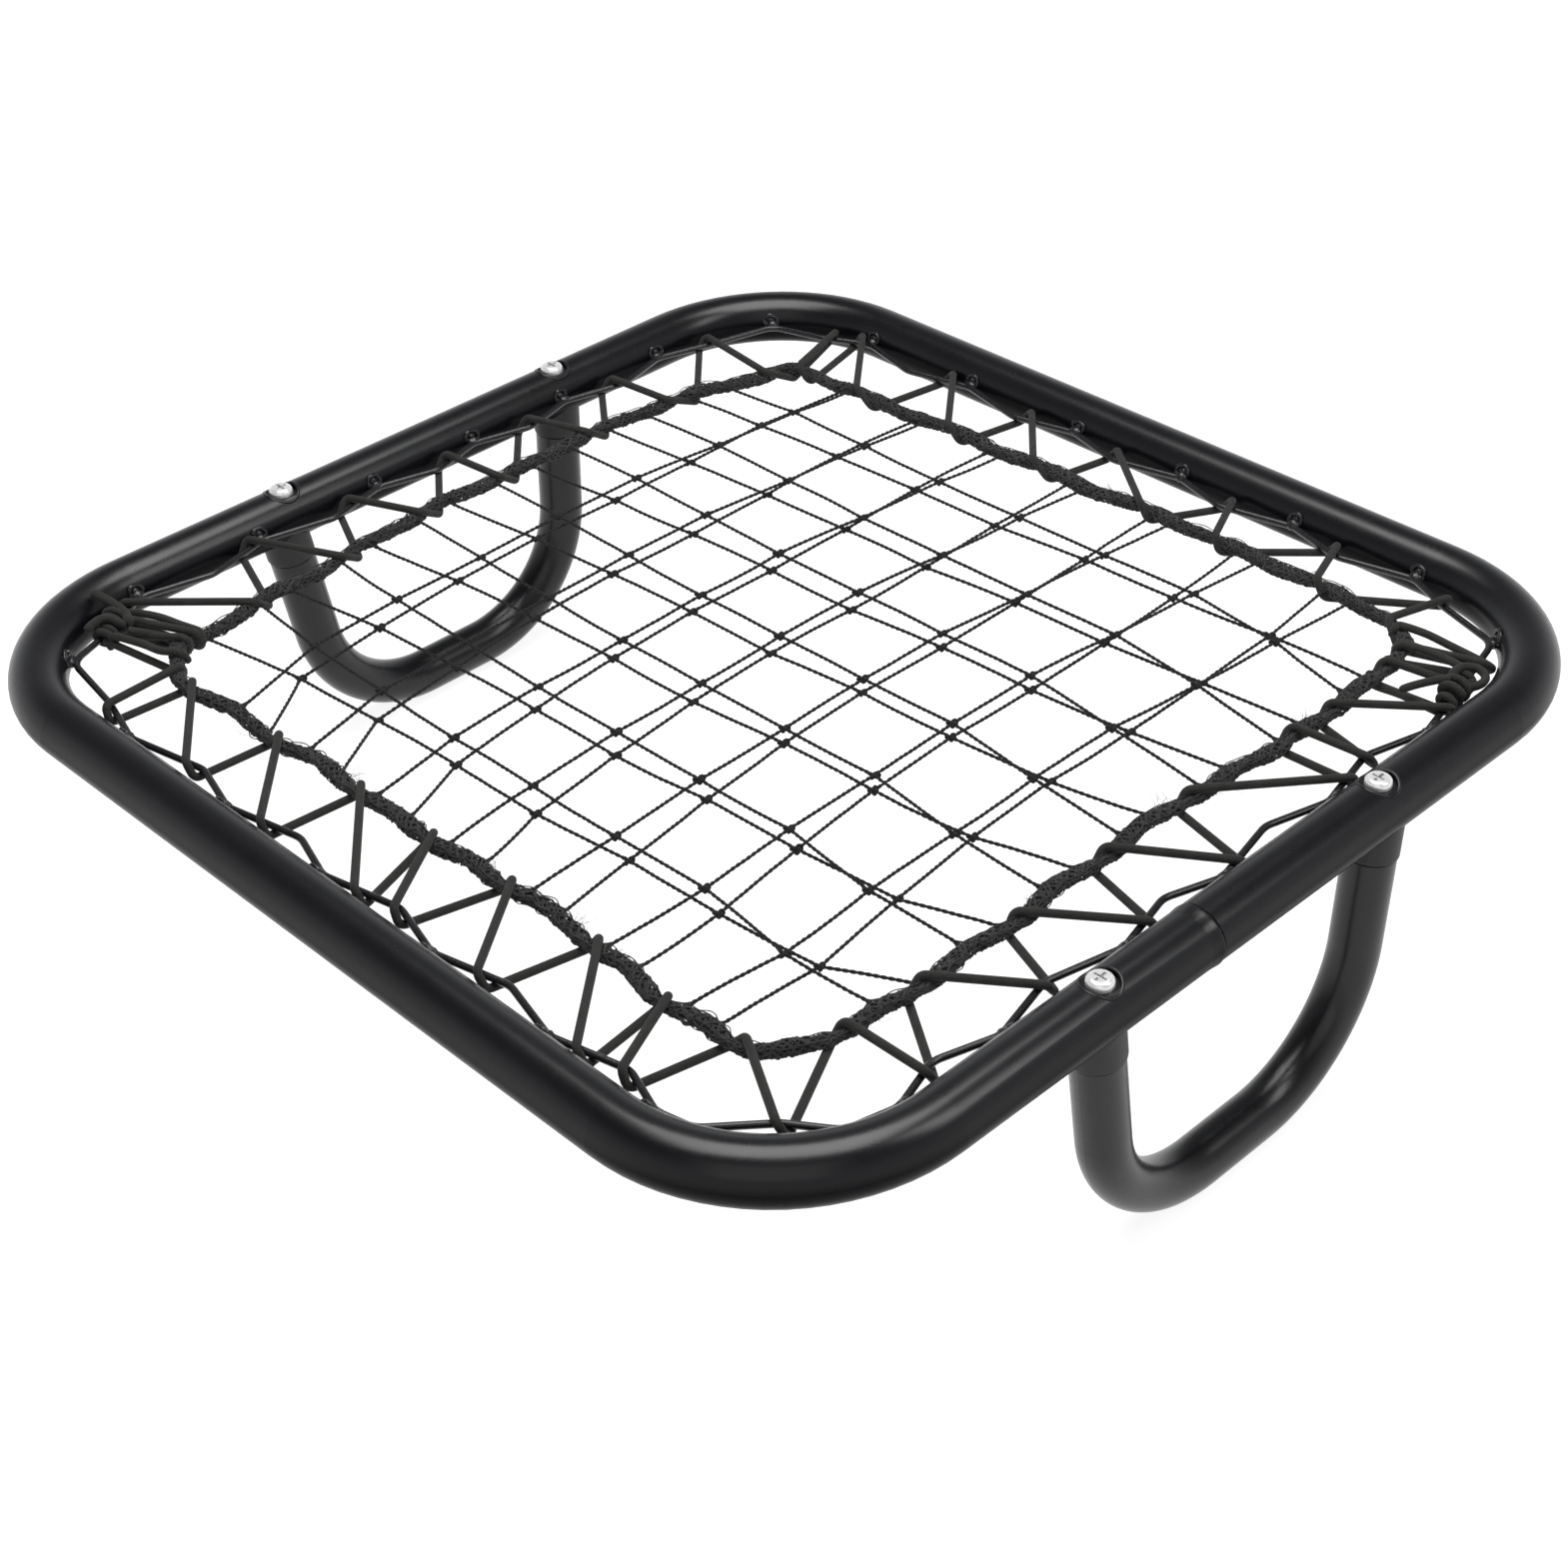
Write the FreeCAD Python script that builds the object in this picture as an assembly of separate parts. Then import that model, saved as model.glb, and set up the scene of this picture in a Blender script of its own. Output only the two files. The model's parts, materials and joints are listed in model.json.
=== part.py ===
"""Pitch back rebounder: a square tube frame on two U handles, with a net laced in by elastic cord.

The frame lies flat.  X and Y run along its sides, Z is up, and the origin is on the floor under
the middle of the frame.  The handles stand under the two X sides.  All sizes are millimetres.
"""
import FreeCAD
import Part

import math
import os

V = FreeCAD.Vector

# ---- driving dimensions -------------------------------------------------------------------

# frame tube
FRAME_LENGTH_X = 565.5          # centre to centre of the two X sides
FRAME_LENGTH_Y = 547.0          # centre to centre of the two Y sides
FRAME_BEND_RADIUS = 89.05       # centreline radius of the four corners
FRAME_TUBE_RADIUS = 14.3        # 1 1/8 inch tube
FRAME_TUBE_WALL = 1.2
FRAME_JOINT_Y = -30.0           # where the two ends of the tube meet, on the +X side
FRAME_JOINT_GAP = 0.3
SLEEVE_LENGTH = 84.0
SLEEVE_WALL = 1.5
SLEEVE_CLEARANCE = 0.1

# carrying handles, one under each X side
HANDLE_TUBE_RADIUS = 12.2
HANDLE_TUBE_WALL = 1.2
HANDLE_LEG_SPACING = 185.0      # between the two legs, where they meet their saddles
HANDLE_SPLAY_DEG = 5.9          # how far each leg leans out at the top
HANDLE_BEND_RADIUS = 68.3
HANDLE_DROP = 135.6             # frame centreline down to the handle's lowest centreline
RIGHT_HANDLE_LEAN = 3.0         # the bottom of each handle sits this far towards +Y of its top
LEFT_HANDLE_LEAN = 6.0
LEFT_HANDLE_SHIFT = 7.0         # the -X handle sits this far towards +Y

# saddles between the frame tube and the legs
SADDLE_HEIGHT = 10.0            # under the frame tube, at its lowest line
SADDLE_CLEARANCE = 0.05
PLUG_LENGTH = 22.0              # the saddle's plug inside the leg
PLUG_CLEARANCE = 0.1

# screws and nuts
SCREW_RADIUS = 3.0              # M6
SCREW_LENGTH = 55.0
SCREW_HEAD_RADIUS = 6.2
SCREW_HEAD_HEIGHT = 3.9
SCREW_HEAD_ROUNDING = 2.6       # rounding of the pan head's top edge
SCREW_HOLE_CLEARANCE = 0.3
RECESS_WIDTH = 1.5              # one arm of the cross recess
RECESS_LENGTH = 6.4
RECESS_DEPTH = 2.2
DIMPLE_RADIUS = 8.5             # pressed seat for the screw head
DIMPLE_DEPTH = 2.1
NUT_ACROSS_FLATS = 10.0
NUT_HEIGHT = 5.0
NUT_FROM_PLUG_END = 5.0
NUT_CLEARANCE = 0.05
THREAD_CLEARANCE = 0.02

# lacing wire, welded inside the frame tube
WIRE_RADIUS = 1.7
WIRE_HEIGHT = 1.0               # above the frame's centreline
WIRE_BEND_RADIUS = 13.0
WIRE_REACH = 25.2               # frame centreline in to the wire's inner bends
WIRE_TUBE_CLEARANCE = 0.05
WELD_RADIUS = 3.4

# net and its border rope
ROPE_RADIUS = 4.2
ROPE_BEND_RADIUS = 26.0
TWINE_RADIUS = 0.7
KNOT_RADIUS = 1.9
LAYER_GAP = 0.4                 # between the knots of the two net layers
NET_ROWS = 7
MESH_X = 55.5
MESH_Y = 53.8

# elastic lacing cord
CORD_RADIUS = 2.0
CORD_CLEARANCE = 0.3
CORNER_KNOT_LENGTH = 24.0
CORNER_KNOT_WIDTH = 15.0
CORNER_KNOT_HEIGHT = 11.0
KNOT_INWARD = 3.0               # the knot hangs on the inner side of the wire

# ---- values worked out from them ----------------------------------------------------------

HALF_X = FRAME_LENGTH_X / 2
HALF_Y = FRAME_LENGTH_Y / 2
STRAIGHT_X = HALF_X - FRAME_BEND_RADIUS
STRAIGHT_Y = HALF_Y - FRAME_BEND_RADIUS
CORNER_ARC = FRAME_BEND_RADIUS * math.pi / 2
FRAME_HEIGHT = HANDLE_DROP + HANDLE_TUBE_RADIUS     # floor to the frame's centreline
FRAME_BORE = FRAME_TUBE_RADIUS - FRAME_TUBE_WALL
HANDLE_BORE = HANDLE_TUBE_RADIUS - HANDLE_TUBE_WALL
SADDLE_BOTTOM = -(FRAME_TUBE_RADIUS + SADDLE_HEIGHT)
SEAT_HEIGHT = FRAME_TUBE_RADIUS - DIMPLE_DEPTH
SPLAY = math.radians(HANDLE_SPLAY_DEG)
WELD_INWARD = WIRE_TUBE_CLEARANCE + math.sqrt((FRAME_TUBE_RADIUS + WIRE_RADIUS) ** 2 - WIRE_HEIGHT ** 2)
ROPE_WRAP = ROPE_RADIUS + CORD_RADIUS + CORD_CLEARANCE
WIRE_WRAP = WIRE_RADIUS + CORD_RADIUS + CORD_CLEARANCE
WRAP_BEND = 0.86                # bend radius of the cord as a share of the wrap's half height

# A place round the frame is (side, along): along runs anticlockwise from the middle of the side,
# first down the straight and then round the corner, measured on the tube's centreline.  The places
# below are set out for a frame of these lengths, and spread in proportion on another.
FRONT, RIGHT, BACK, LEFT = range(4)
PLACES_LENGTH_X = 565.5
PLACES_LENGTH_Y = 547.0

# Wire: places of the welds and of the inner bends on each side, in order round the frame.
WELDS = {
    FRONT: (-164, -86, -14, 62, 137, 202, 224),
    RIGHT: (-222, -192, -133, -58, 6, 80, 153, 252),
    BACK: (-186, -112, -39, 34, 111, 188, 265),
    LEFT: (-164, -94, -29, 36, 111, 186, 264),
}
WIRE_BENDS = {
    FRONT: (-197, -118, -43, 29, 102, 176, 266),
    RIGHT: (-163, -97, -22, 47, 119, 206),
    BACK: (-219, -146, -72, -1, 70, 150, 223),
    LEFT: (-204, -130, -62, 3, 72, 148, 227),
}

# Border rope: (along, inward) from the frame's centreline.  It is drawn out at each lacing wrap.
ROPE = {
    FRONT: ((-194, 61), (-179, 57), (-150, 64), (-113, 60), (-86, 67), (-54, 63), (-28, 66), (2, 63),
            (24, 68), (46, 65), (72, 70), (103, 65), (128, 67), (154, 60), (176, 66), (197, 63), (232, 65)),
    RIGHT: ((-206, 68), (-176, 61), (-155, 64), (-134, 58), (-103, 63), (-75, 58), (-45, 65), (-17, 60),
            (14, 66), (46, 60), (72, 62), (98, 57), (117, 59), (137, 56), (160, 61), (179, 59), (215, 60),
            (255, 55)),
    BACK: ((-236, 56), (-209, 54), (-184, 54), (-159, 49), (-130, 53), (-100, 50), (-70, 53), (-45, 50),
           (-12, 57), (21, 53), (50, 59), (83, 55), (116, 62), (151, 59), (172, 65), (193, 61), (245, 64)),
    LEFT: ((-222, 76), (-185, 75), (-168, 69), (-151, 60), (-118, 59), (-90, 53), (-59, 56), (-28, 54),
           (-3, 56), (23, 51), (50, 57), (80, 56), (110, 64), (140, 60), (165, 68), (188, 69), (226, 63),
           (262, 66)),
}

# Lacing: one row for each stitch, in order round the frame.  The cord leaves the top of the rope,
# crosses the wire, turns under it, comes back under the rope and turns up round its inner edge.
# Each place is (side, along).
CORD_ONE = (
    ((FRONT, -194), (FRONT, -191), (FRONT, -187), (FRONT, -184)),
    ((FRONT, -174), (FRONT, -124), (FRONT, -120), (FRONT, -118)),
    ((FRONT, -108), (FRONT, -62), (FRONT, -59), (FRONT, -59)),
    ((FRONT, -48), (FRONT, 8), (FRONT, 12), (FRONT, -3)),
    ((FRONT, 7), (FRONT, 30), (FRONT, 34), (FRONT, 40)),
    ((FRONT, 51), (FRONT, 89), (FRONT, 93), (FRONT, 98)),
    ((FRONT, 109), (FRONT, 154), (FRONT, 158), (FRONT, 149)),
    ((FRONT, 159), (FRONT, 180), (FRONT, 184), (FRONT, 187)),
    ((FRONT, 206), (FRONT, 264), (FRONT, 269), (RIGHT, -176)),
    ((RIGHT, -170), (RIGHT, -166), (RIGHT, -160), (RIGHT, -139)),
    ((RIGHT, -134), (RIGHT, -101), (RIGHT, -95), (RIGHT, -77)),
    ((RIGHT, -72), (RIGHT, -41), (RIGHT, -35), (RIGHT, -20)),
    ((RIGHT, -13), (RIGHT, 25), (RIGHT, 31), (RIGHT, 43)),
    ((RIGHT, 49), (RIGHT, 100), (RIGHT, 104), (RIGHT, 102)),
    ((RIGHT, 108), (RIGHT, 115), (RIGHT, 121), (RIGHT, 134)),
    ((RIGHT, 140), (RIGHT, 172), (RIGHT, 178), (RIGHT, 178)),
)
CORD_TWO = (
    ((RIGHT, 238), (RIGHT, 222), (RIGHT, 231), (RIGHT, 265)),
    ((BACK, -212), (BACK, -218), (BACK, -212), (BACK, -167)),
    ((BACK, -161), (BACK, -143), (BACK, -137), (BACK, -101)),
    ((BACK, -94), (BACK, -77), (BACK, -71), (BACK, -47)),
    ((BACK, -43), (BACK, -8), (BACK, -2), (BACK, 18)),
    ((BACK, 25), (BACK, 62), (BACK, 68), (BACK, 80)),
    ((BACK, 87), (BACK, 130), (BACK, 136), (BACK, 148)),
    ((BACK, 155), (BACK, 203), (BACK, 208), (BACK, 192)),
    ((BACK, 206), (BACK, 222), (BACK, 228), (BACK, 222)),
    ((LEFT, -226), (LEFT, -200), (LEFT, -194), (LEFT, -162)),
    ((LEFT, -142), (LEFT, -125), (LEFT, -119), (LEFT, -101)),
    ((LEFT, -87), (LEFT, -63), (LEFT, -57), (LEFT, -34)),
    ((LEFT, -22), (LEFT, -7), (LEFT, -1), (LEFT, 19)),
    ((LEFT, 31), (LEFT, 58), (LEFT, 64), (LEFT, 73)),
    ((LEFT, 87), (LEFT, 126), (LEFT, 131), (LEFT, 134)),
    ((LEFT, 146), (LEFT, 201), (LEFT, 206), (LEFT, 187)),
    ((LEFT, 194), (LEFT, 216), (LEFT, 221), (LEFT, 211)),
)
# where the two cords are knotted together: the middle of the wrapped stretch of wire
KNOT_PLACES = {"left": (LEFT, 233), "right": (RIGHT, 207)}
# each cord: the knot and the shift along the wire that it starts from, its first and last turns
# round the rope, and the knot that it ends in
CORDS = {
    "lacing_cord_one": {
        "start": ("left", 5.0), "first_turn": (FRONT, -210), "stitches": CORD_ONE,
        "last_turn": (RIGHT, 185), "end": ("right", -8.0),
    },
    "lacing_cord_two": {
        "start": ("right", 6.0), "first_turn": (RIGHT, 228), "stitches": CORD_TWO,
        "last_turn": (LEFT, 222), "end": ("left", -3.0),
    },
}

# Net layers: where the middle knot lies, then how the rows and columns wander as they go across.
UPPER_NET = {
    "middle": (-0.3, 7.5),
    "row_shift": (6, 2, -4, -4, -2, -1, 3),
    "column_shift": (1, 0, -1, 0, 1, 3, -4),
    "ends": {FRONT: (17, -3.8), RIGHT: (-12, 2.6), BACK: (4, 0), LEFT: (-4, 1.5)},
}
LOWER_NET = {
    "middle": (2.7, 0.3),
    "row_shift": (-6, -4, -3, -4, -1, 5, 13),
    "column_shift": (-10, -6, -3, -2, 4, 6, 11),
    "ends": {FRONT: (29, -5.2), RIGHT: (0, 3.3), BACK: (7, -2.0), LEFT: (-6, -0.9)},
}


# ---- places round the frame ---------------------------------------------------------------

def spread(place):
    """A place's distance along its side, in proportion to the side's length."""
    side, along = place
    return along * (FRAME_LENGTH_X / PLACES_LENGTH_X, FRAME_LENGTH_Y / PLACES_LENGTH_Y)[side % 2]


def ring_place(place, inward):
    """Plan position and inward direction of a place, the given distance inside the tube's centreline."""
    side, along = place[0], spread(place)
    straight, across = ((STRAIGHT_X, HALF_Y), (STRAIGHT_Y, HALF_X))[side % 2]
    beyond = abs(along) - straight
    if beyond <= 0:
        u, v = along, inward - across
        normal = (0.0, 1.0)
    else:
        turn = beyond / FRAME_BEND_RADIUS
        radius = FRAME_BEND_RADIUS - inward
        sign = math.copysign(1.0, along)
        u = sign * (straight + radius * math.sin(turn))
        v = FRAME_BEND_RADIUS - across - radius * math.cos(turn)
        normal = (-sign * math.sin(turn), math.cos(turn))
    quarter = side * math.pi / 2
    cosine, sine = math.cos(quarter), math.sin(quarter)

    def turned(x, y):
        return V(x * cosine - y * sine, x * sine + y * cosine, 0)

    return turned(u, v), turned(*normal)


def station(place):
    """Distance round the frame's centreline, anticlockwise from the middle of the front."""
    side = place[0]
    starts = (0.0, STRAIGHT_X + CORNER_ARC + STRAIGHT_Y)
    half_turn = 2 * starts[1]
    return (side // 2) * half_turn + starts[side % 2] + spread(place)


def ordered(table):
    """The places of a table keyed by side, as a list of (side, along, value) round the frame."""
    rows = []
    for side in (FRONT, RIGHT, BACK, LEFT):
        for entry in table[side]:
            along, value = entry
            rows.append((side, along, value))
    return sorted(rows, key=lambda row: station(row[:2]))


WIRE_TABLE = {
    side: [(along, WELD_INWARD) for along in WELDS[side]] + [(along, WIRE_REACH) for along in WIRE_BENDS[side]]
    for side in WELDS
}
WIRE_POINTS = ordered(WIRE_TABLE)
ROPE_POINTS = ordered(ROPE)


def polygon(rows):
    """The corners of a route that lies flat round the frame."""
    return [ring_place(row[:2], row[2])[0] for row in rows]


def inward_on(path, place):
    """How far inside the frame's centreline a flat path runs at a place."""
    outer, inward = ring_place(place, 0)
    probe = Part.LineSegment(outer, outer + inward * (FRAME_BEND_RADIUS - 1)).toShape()
    _, pairs, _ = path.distToShape(probe)
    return (pairs[0][1] - outer).Length


def at_height(point, z):
    return V(point.x, point.y, z)


# ---- paths and tubes ----------------------------------------------------------------------

def rounded_path(points, radii, closed=False):
    """Straight runs joined by tangent arcs.  Each arc is cut down to what its two runs leave room for.

    A run between two bends is shared by them, and one that ends the path is left to its one bend.
    """
    count = len(points)
    corners = range(count) if closed else range(1, count - 1)
    arcs = {}
    for i in corners:
        before, here, after = points[i - 1], points[i], points[(i + 1) % count]
        back, ahead = before - here, after - here
        turn = math.pi - back.getAngle(ahead)
        back_share = 0.98 if not closed and i == 1 else 0.49
        ahead_share = 0.98 if not closed and i == count - 2 else 0.49
        room = min(back_share * back.Length, ahead_share * ahead.Length)
        reach = min(radii[i] * math.tan(turn / 2), room)
        radius = reach / math.tan(turn / 2)
        start = here + back.normalize() * reach
        end = here + ahead.normalize() * reach
        to_centre = (start + end) * 0.5 - here
        depth = radius / math.cos(turn / 2) - radius
        middle = here + to_centre.normalize() * depth
        arcs[i] = (start, middle, end)
    edges = []
    last = arcs[count - 1][2] if closed else points[0]
    for i in corners:
        start, middle, end = arcs[i]
        if last.distanceToPoint(start) > 1e-6:
            edges.append(Part.LineSegment(last, start).toShape())
        edges.append(Part.Arc(start, middle, end).toShape())
        last = end
    if not closed:
        edges.append(Part.LineSegment(last, points[-1]).toShape())
    return Part.Wire(edges)


def tube_along(path, radius):
    """A round bar swept along a path."""
    first = path.OrderedEdges[0]
    start = first.valueAt(first.FirstParameter)
    ahead = first.tangentAt(first.FirstParameter)
    if first.Orientation == "Reversed":
        start = first.valueAt(first.LastParameter)
        ahead = first.tangentAt(first.LastParameter) * -1
    profile = Part.Wire([Part.Circle(start, ahead, radius).toShape()])
    solid = path.makePipeShell([profile], True, False)
    if solid.Volume < 0:
        solid.reverse()
    return solid


def lowered(shape):
    """Move a shape drawn about the frame's centreline to its height over the floor."""
    moved = shape.copy()
    moved.translate(V(0, 0, FRAME_HEIGHT))
    return moved


WIRE_PATH = rounded_path(polygon(WIRE_POINTS), [WIRE_BEND_RADIUS] * len(WIRE_POINTS), closed=True)
ROPE_PATH = rounded_path(polygon(ROPE_POINTS), [ROPE_BEND_RADIUS] * len(ROPE_POINTS), closed=True)


# ---- frame --------------------------------------------------------------------------------

HANDLES = {"right": (HALF_X, 0.0, RIGHT_HANDLE_LEAN), "left": (-HALF_X, LEFT_HANDLE_SHIFT, LEFT_HANDLE_LEAN)}
LEGS = {"front": -1, "back": 1}


def screw_places():
    """Name, x and y of the four screws."""
    places = []
    for handle, (x, y_middle, _) in HANDLES.items():
        for leg, sign in LEGS.items():
            places.append((handle + "_" + leg, x, y_middle + sign * HANDLE_LEG_SPACING / 2))
    return places


def frame_path():
    corners = [V(-HALF_X, -HALF_Y, 0), V(HALF_X, -HALF_Y, 0), V(HALF_X, HALF_Y, 0), V(-HALF_X, HALF_Y, 0)]
    return rounded_path(corners, [FRAME_BEND_RADIUS] * 4, closed=True)


def make_frame_tube():
    path = frame_path()
    outside = tube_along(path, FRAME_TUBE_RADIUS)
    tube = outside.cut(tube_along(path, FRAME_BORE))
    high = FRAME_TUBE_RADIUS
    hole_radius = SCREW_RADIUS + SCREW_HOLE_CLEARANCE
    for _, x, y in screw_places():
        seat_floor = SEAT_HEIGHT - FRAME_TUBE_WALL
        cup = Part.makeCylinder(DIMPLE_RADIUS + FRAME_TUBE_WALL, high - seat_floor, V(x, y, seat_floor))
        tube = tube.fuse(cup.common(outside))
        tube = tube.cut(Part.makeCylinder(DIMPLE_RADIUS, high, V(x, y, SEAT_HEIGHT)))
        tube = tube.cut(Part.makeCylinder(hole_radius, 4 * high, V(x, y, -2 * high)))
    gap = Part.makeBox(4 * high, FRAME_JOINT_GAP, 4 * high)
    gap.translate(V(HALF_X - 2 * high, FRAME_JOINT_Y - FRAME_JOINT_GAP / 2, -2 * high))
    return tube.cut(gap)


def make_joint_sleeve():
    radius = FRAME_BORE - SLEEVE_CLEARANCE
    start = V(HALF_X, FRAME_JOINT_Y - SLEEVE_LENGTH / 2, 0)
    sleeve = Part.makeCylinder(radius, SLEEVE_LENGTH, start, V(0, 1, 0))
    return sleeve.cut(Part.makeCylinder(radius - SLEEVE_WALL, SLEEVE_LENGTH, start, V(0, 1, 0)))


# ---- lacing wire --------------------------------------------------------------------------

def make_lacing_wire():
    wire = tube_along(WIRE_PATH, WIRE_RADIUS)
    wire.translate(V(0, 0, WIRE_HEIGHT))
    return wire


def make_weld_beads(wire):
    """A bead at each place where the wire meets the tube, filling the notch between them."""
    solid_tube = tube_along(frame_path(), FRAME_TUBE_RADIUS)
    beads = []
    for side, places in WELDS.items():
        for along in places:
            point, _ = ring_place((side, along), WELD_INWARD)
            bead = Part.makeSphere(WELD_RADIUS, at_height(point, WIRE_HEIGHT + WIRE_RADIUS))
            bead = bead.cut(solid_tube).cut(wire)
            beads.append(max(bead.Solids, key=lambda solid: solid.Volume))
    return Part.makeCompound(beads)


# ---- handles ------------------------------------------------------------------------------

def leg_ends(x, y_middle, lean, sign):
    """Where a leg meets its saddle, and the corner below it; sign is which leg."""
    top = HANDLE_LEG_SPACING / 2
    foot = top - (HANDLE_DROP + SADDLE_BOTTOM) * math.tan(SPLAY)
    return V(x, y_middle + sign * top, SADDLE_BOTTOM), V(x, y_middle + sign * foot + lean, -HANDLE_DROP)


def make_handle(x, y_middle, lean):
    front_top, front_foot = leg_ends(x, y_middle, lean, -1)
    back_top, back_foot = leg_ends(x, y_middle, lean, 1)
    path = rounded_path([front_top, front_foot, back_foot, back_top], [HANDLE_BEND_RADIUS] * 4)
    return tube_along(path, HANDLE_TUBE_RADIUS).cut(tube_along(path, HANDLE_BORE))


def make_saddle(x, y_middle, lean, sign):
    """A block as round as the leg, hollowed to the frame tube above, with a plug into the leg."""
    base, foot = leg_ends(x, y_middle, lean, sign)
    up = (base - foot).normalize()
    body = Part.makeCylinder(HANDLE_TUBE_RADIUS, -SADDLE_BOTTOM, base, up)
    body = body.common(Part.makeBox(60, 60, 60, V(x - 30, base.y - 30, -60)))
    tube_room = Part.makeCylinder(FRAME_TUBE_RADIUS + SADDLE_CLEARANCE, 80, V(x, base.y - 40, 0), V(0, 1, 0))
    plug = Part.makeCylinder(HANDLE_BORE - PLUG_CLEARANCE, PLUG_LENGTH, base, up * -1)
    saddle = body.cut(tube_room).fuse(plug)
    hole = Part.makeCylinder(SCREW_RADIUS + SCREW_HOLE_CLEARANCE, 80, V(x, base.y, -80))
    pocket_top = nut_bottom() + NUT_HEIGHT
    pocket = hexagon(x, base.y, NUT_ACROSS_FLATS + 2 * NUT_CLEARANCE, pocket_top - 40, 40)
    return saddle.cut(hole).cut(pocket)


def nut_bottom():
    return SADDLE_BOTTOM - PLUG_LENGTH + NUT_FROM_PLUG_END


def hexagon(x, y, across_flats, bottom, height):
    radius = across_flats / math.sqrt(3)
    points = [V(x + radius * math.cos(a), y + radius * math.sin(a), bottom)
              for a in (math.radians(60 * i) for i in range(7))]
    return Part.Face(Part.makePolygon(points)).extrude(V(0, 0, height))


def make_nut(x, y):
    nut = hexagon(x, y, NUT_ACROSS_FLATS, nut_bottom(), NUT_HEIGHT)
    hole_radius = SCREW_RADIUS + THREAD_CLEARANCE
    return nut.cut(Part.makeCylinder(hole_radius, NUT_HEIGHT, V(x, y, nut_bottom())))


def make_screw(x, y):
    """Pan head screw with a cross recess, its head in the dimple."""
    blank = Part.makeCylinder(SCREW_HEAD_RADIUS, SCREW_HEAD_HEIGHT)
    top_edge = max(blank.Edges, key=lambda edge: edge.CenterOfMass.z)
    head = blank.makeFillet(SCREW_HEAD_ROUNDING, [top_edge])
    for width, length in ((RECESS_WIDTH, RECESS_LENGTH), (RECESS_LENGTH, RECESS_WIDTH)):
        arm = Part.makeBox(width, length, RECESS_DEPTH)
        arm.translate(V(-width / 2, -length / 2, SCREW_HEAD_HEIGHT - RECESS_DEPTH))
        head = head.cut(arm)
    shank = Part.makeCylinder(SCREW_RADIUS, SCREW_LENGTH, V(0, 0, -SCREW_LENGTH))
    screw = head.fuse(shank)
    screw.translate(V(x, y, SEAT_HEIGHT))
    return screw


# ---- net ----------------------------------------------------------------------------------

def make_border_rope(cords):
    """The soft hem, pressed in where the lacing cords wrap tightly round it."""
    rope = tube_along(ROPE_PATH, ROPE_RADIUS)
    for cord in cords:
        rope = rope.cut(cord)
    return max(rope.Solids, key=lambda solid: solid.Volume)


def net_knots(layer):
    """Knot positions as a grid, knots[row][column], row 0 at the back and column 0 at the left."""
    middle_x, middle_y = layer["middle"]
    half = (NET_ROWS - 1) / 2
    knots = []
    for row in range(NET_ROWS):
        y = middle_y + (half - row) * MESH_Y
        x = middle_x + layer["row_shift"][row]
        knots.append([V(x + (column - half) * MESH_X, y + layer["column_shift"][column], 0)
                      for column in range(NET_ROWS)])
    return knots


def rope_end(side, across):
    """The point on the rope's centreline where a line at that x (front, back) or y (sides) meets it."""
    along = {FRONT: across, RIGHT: across, BACK: -across, LEFT: -across}[side]
    return ring_place((side, along), inward_on(ROPE_PATH, (side, along)))[0]


def net_lines(layer):
    """Each twine of a layer, as the list of points that it runs through, from rope to rope."""
    knots = net_knots(layer)
    ends = layer["ends"]
    lines = []
    for i in range(NET_ROWS):
        column = [knots[row][i] for row in range(NET_ROWS)]
        back = rope_end(BACK, column[0].x + ends[BACK][0] + ends[BACK][1] * i)
        front = rope_end(FRONT, column[-1].x + ends[FRONT][0] + ends[FRONT][1] * i)
        lines.append([back] + column + [front])
        row = knots[i]
        left = rope_end(LEFT, row[0].y + ends[LEFT][0] + ends[LEFT][1] * i)
        right = rope_end(RIGHT, row[-1].y + ends[RIGHT][0] + ends[RIGHT][1] * i)
        lines.append([left] + row + [right])
    return lines


def make_net(layer, height):
    pieces = []
    for row in net_knots(layer):
        for knot in row:
            ball = Part.makeSphere(KNOT_RADIUS)
            ball.rotate(V(0, 0, 0), V(0, 0, 1), 45)    # keeps the ball's seam between the twines
            ball.translate(knot)
            pieces.append(ball)
    for line in net_lines(layer):
        last = len(line) - 2
        for i, (start, end) in enumerate(zip(line, line[1:])):
            run = (end - start).normalize()
            first_point = start if i == 0 else start + run * KNOT_RADIUS / 2
            last_point = end if i == last else end - run * KNOT_RADIUS / 2
            length = (last_point - first_point).Length
            pieces.append(Part.makeCylinder(TWINE_RADIUS, length, first_point, run))
    net = pieces[0].multiFuse(pieces[1:])
    net.translate(V(0, 0, height))
    return net


# ---- lacing cord --------------------------------------------------------------------------

def rope_turn(place, level):
    """Corner of the cord where it turns round the rope's inner edge: level 1 is above, -1 below."""
    point, _ = ring_place(place, inward_on(ROPE_PATH, place) + ROPE_WRAP)
    return at_height(point, level * ROPE_WRAP)


def wire_turn(place, level):
    """Corner of the cord where it turns round the wire's outer edge."""
    point, _ = ring_place(place, inward_on(WIRE_PATH, place) - WIRE_WRAP)
    return at_height(point, WIRE_HEIGHT + level * WIRE_WRAP)


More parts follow.
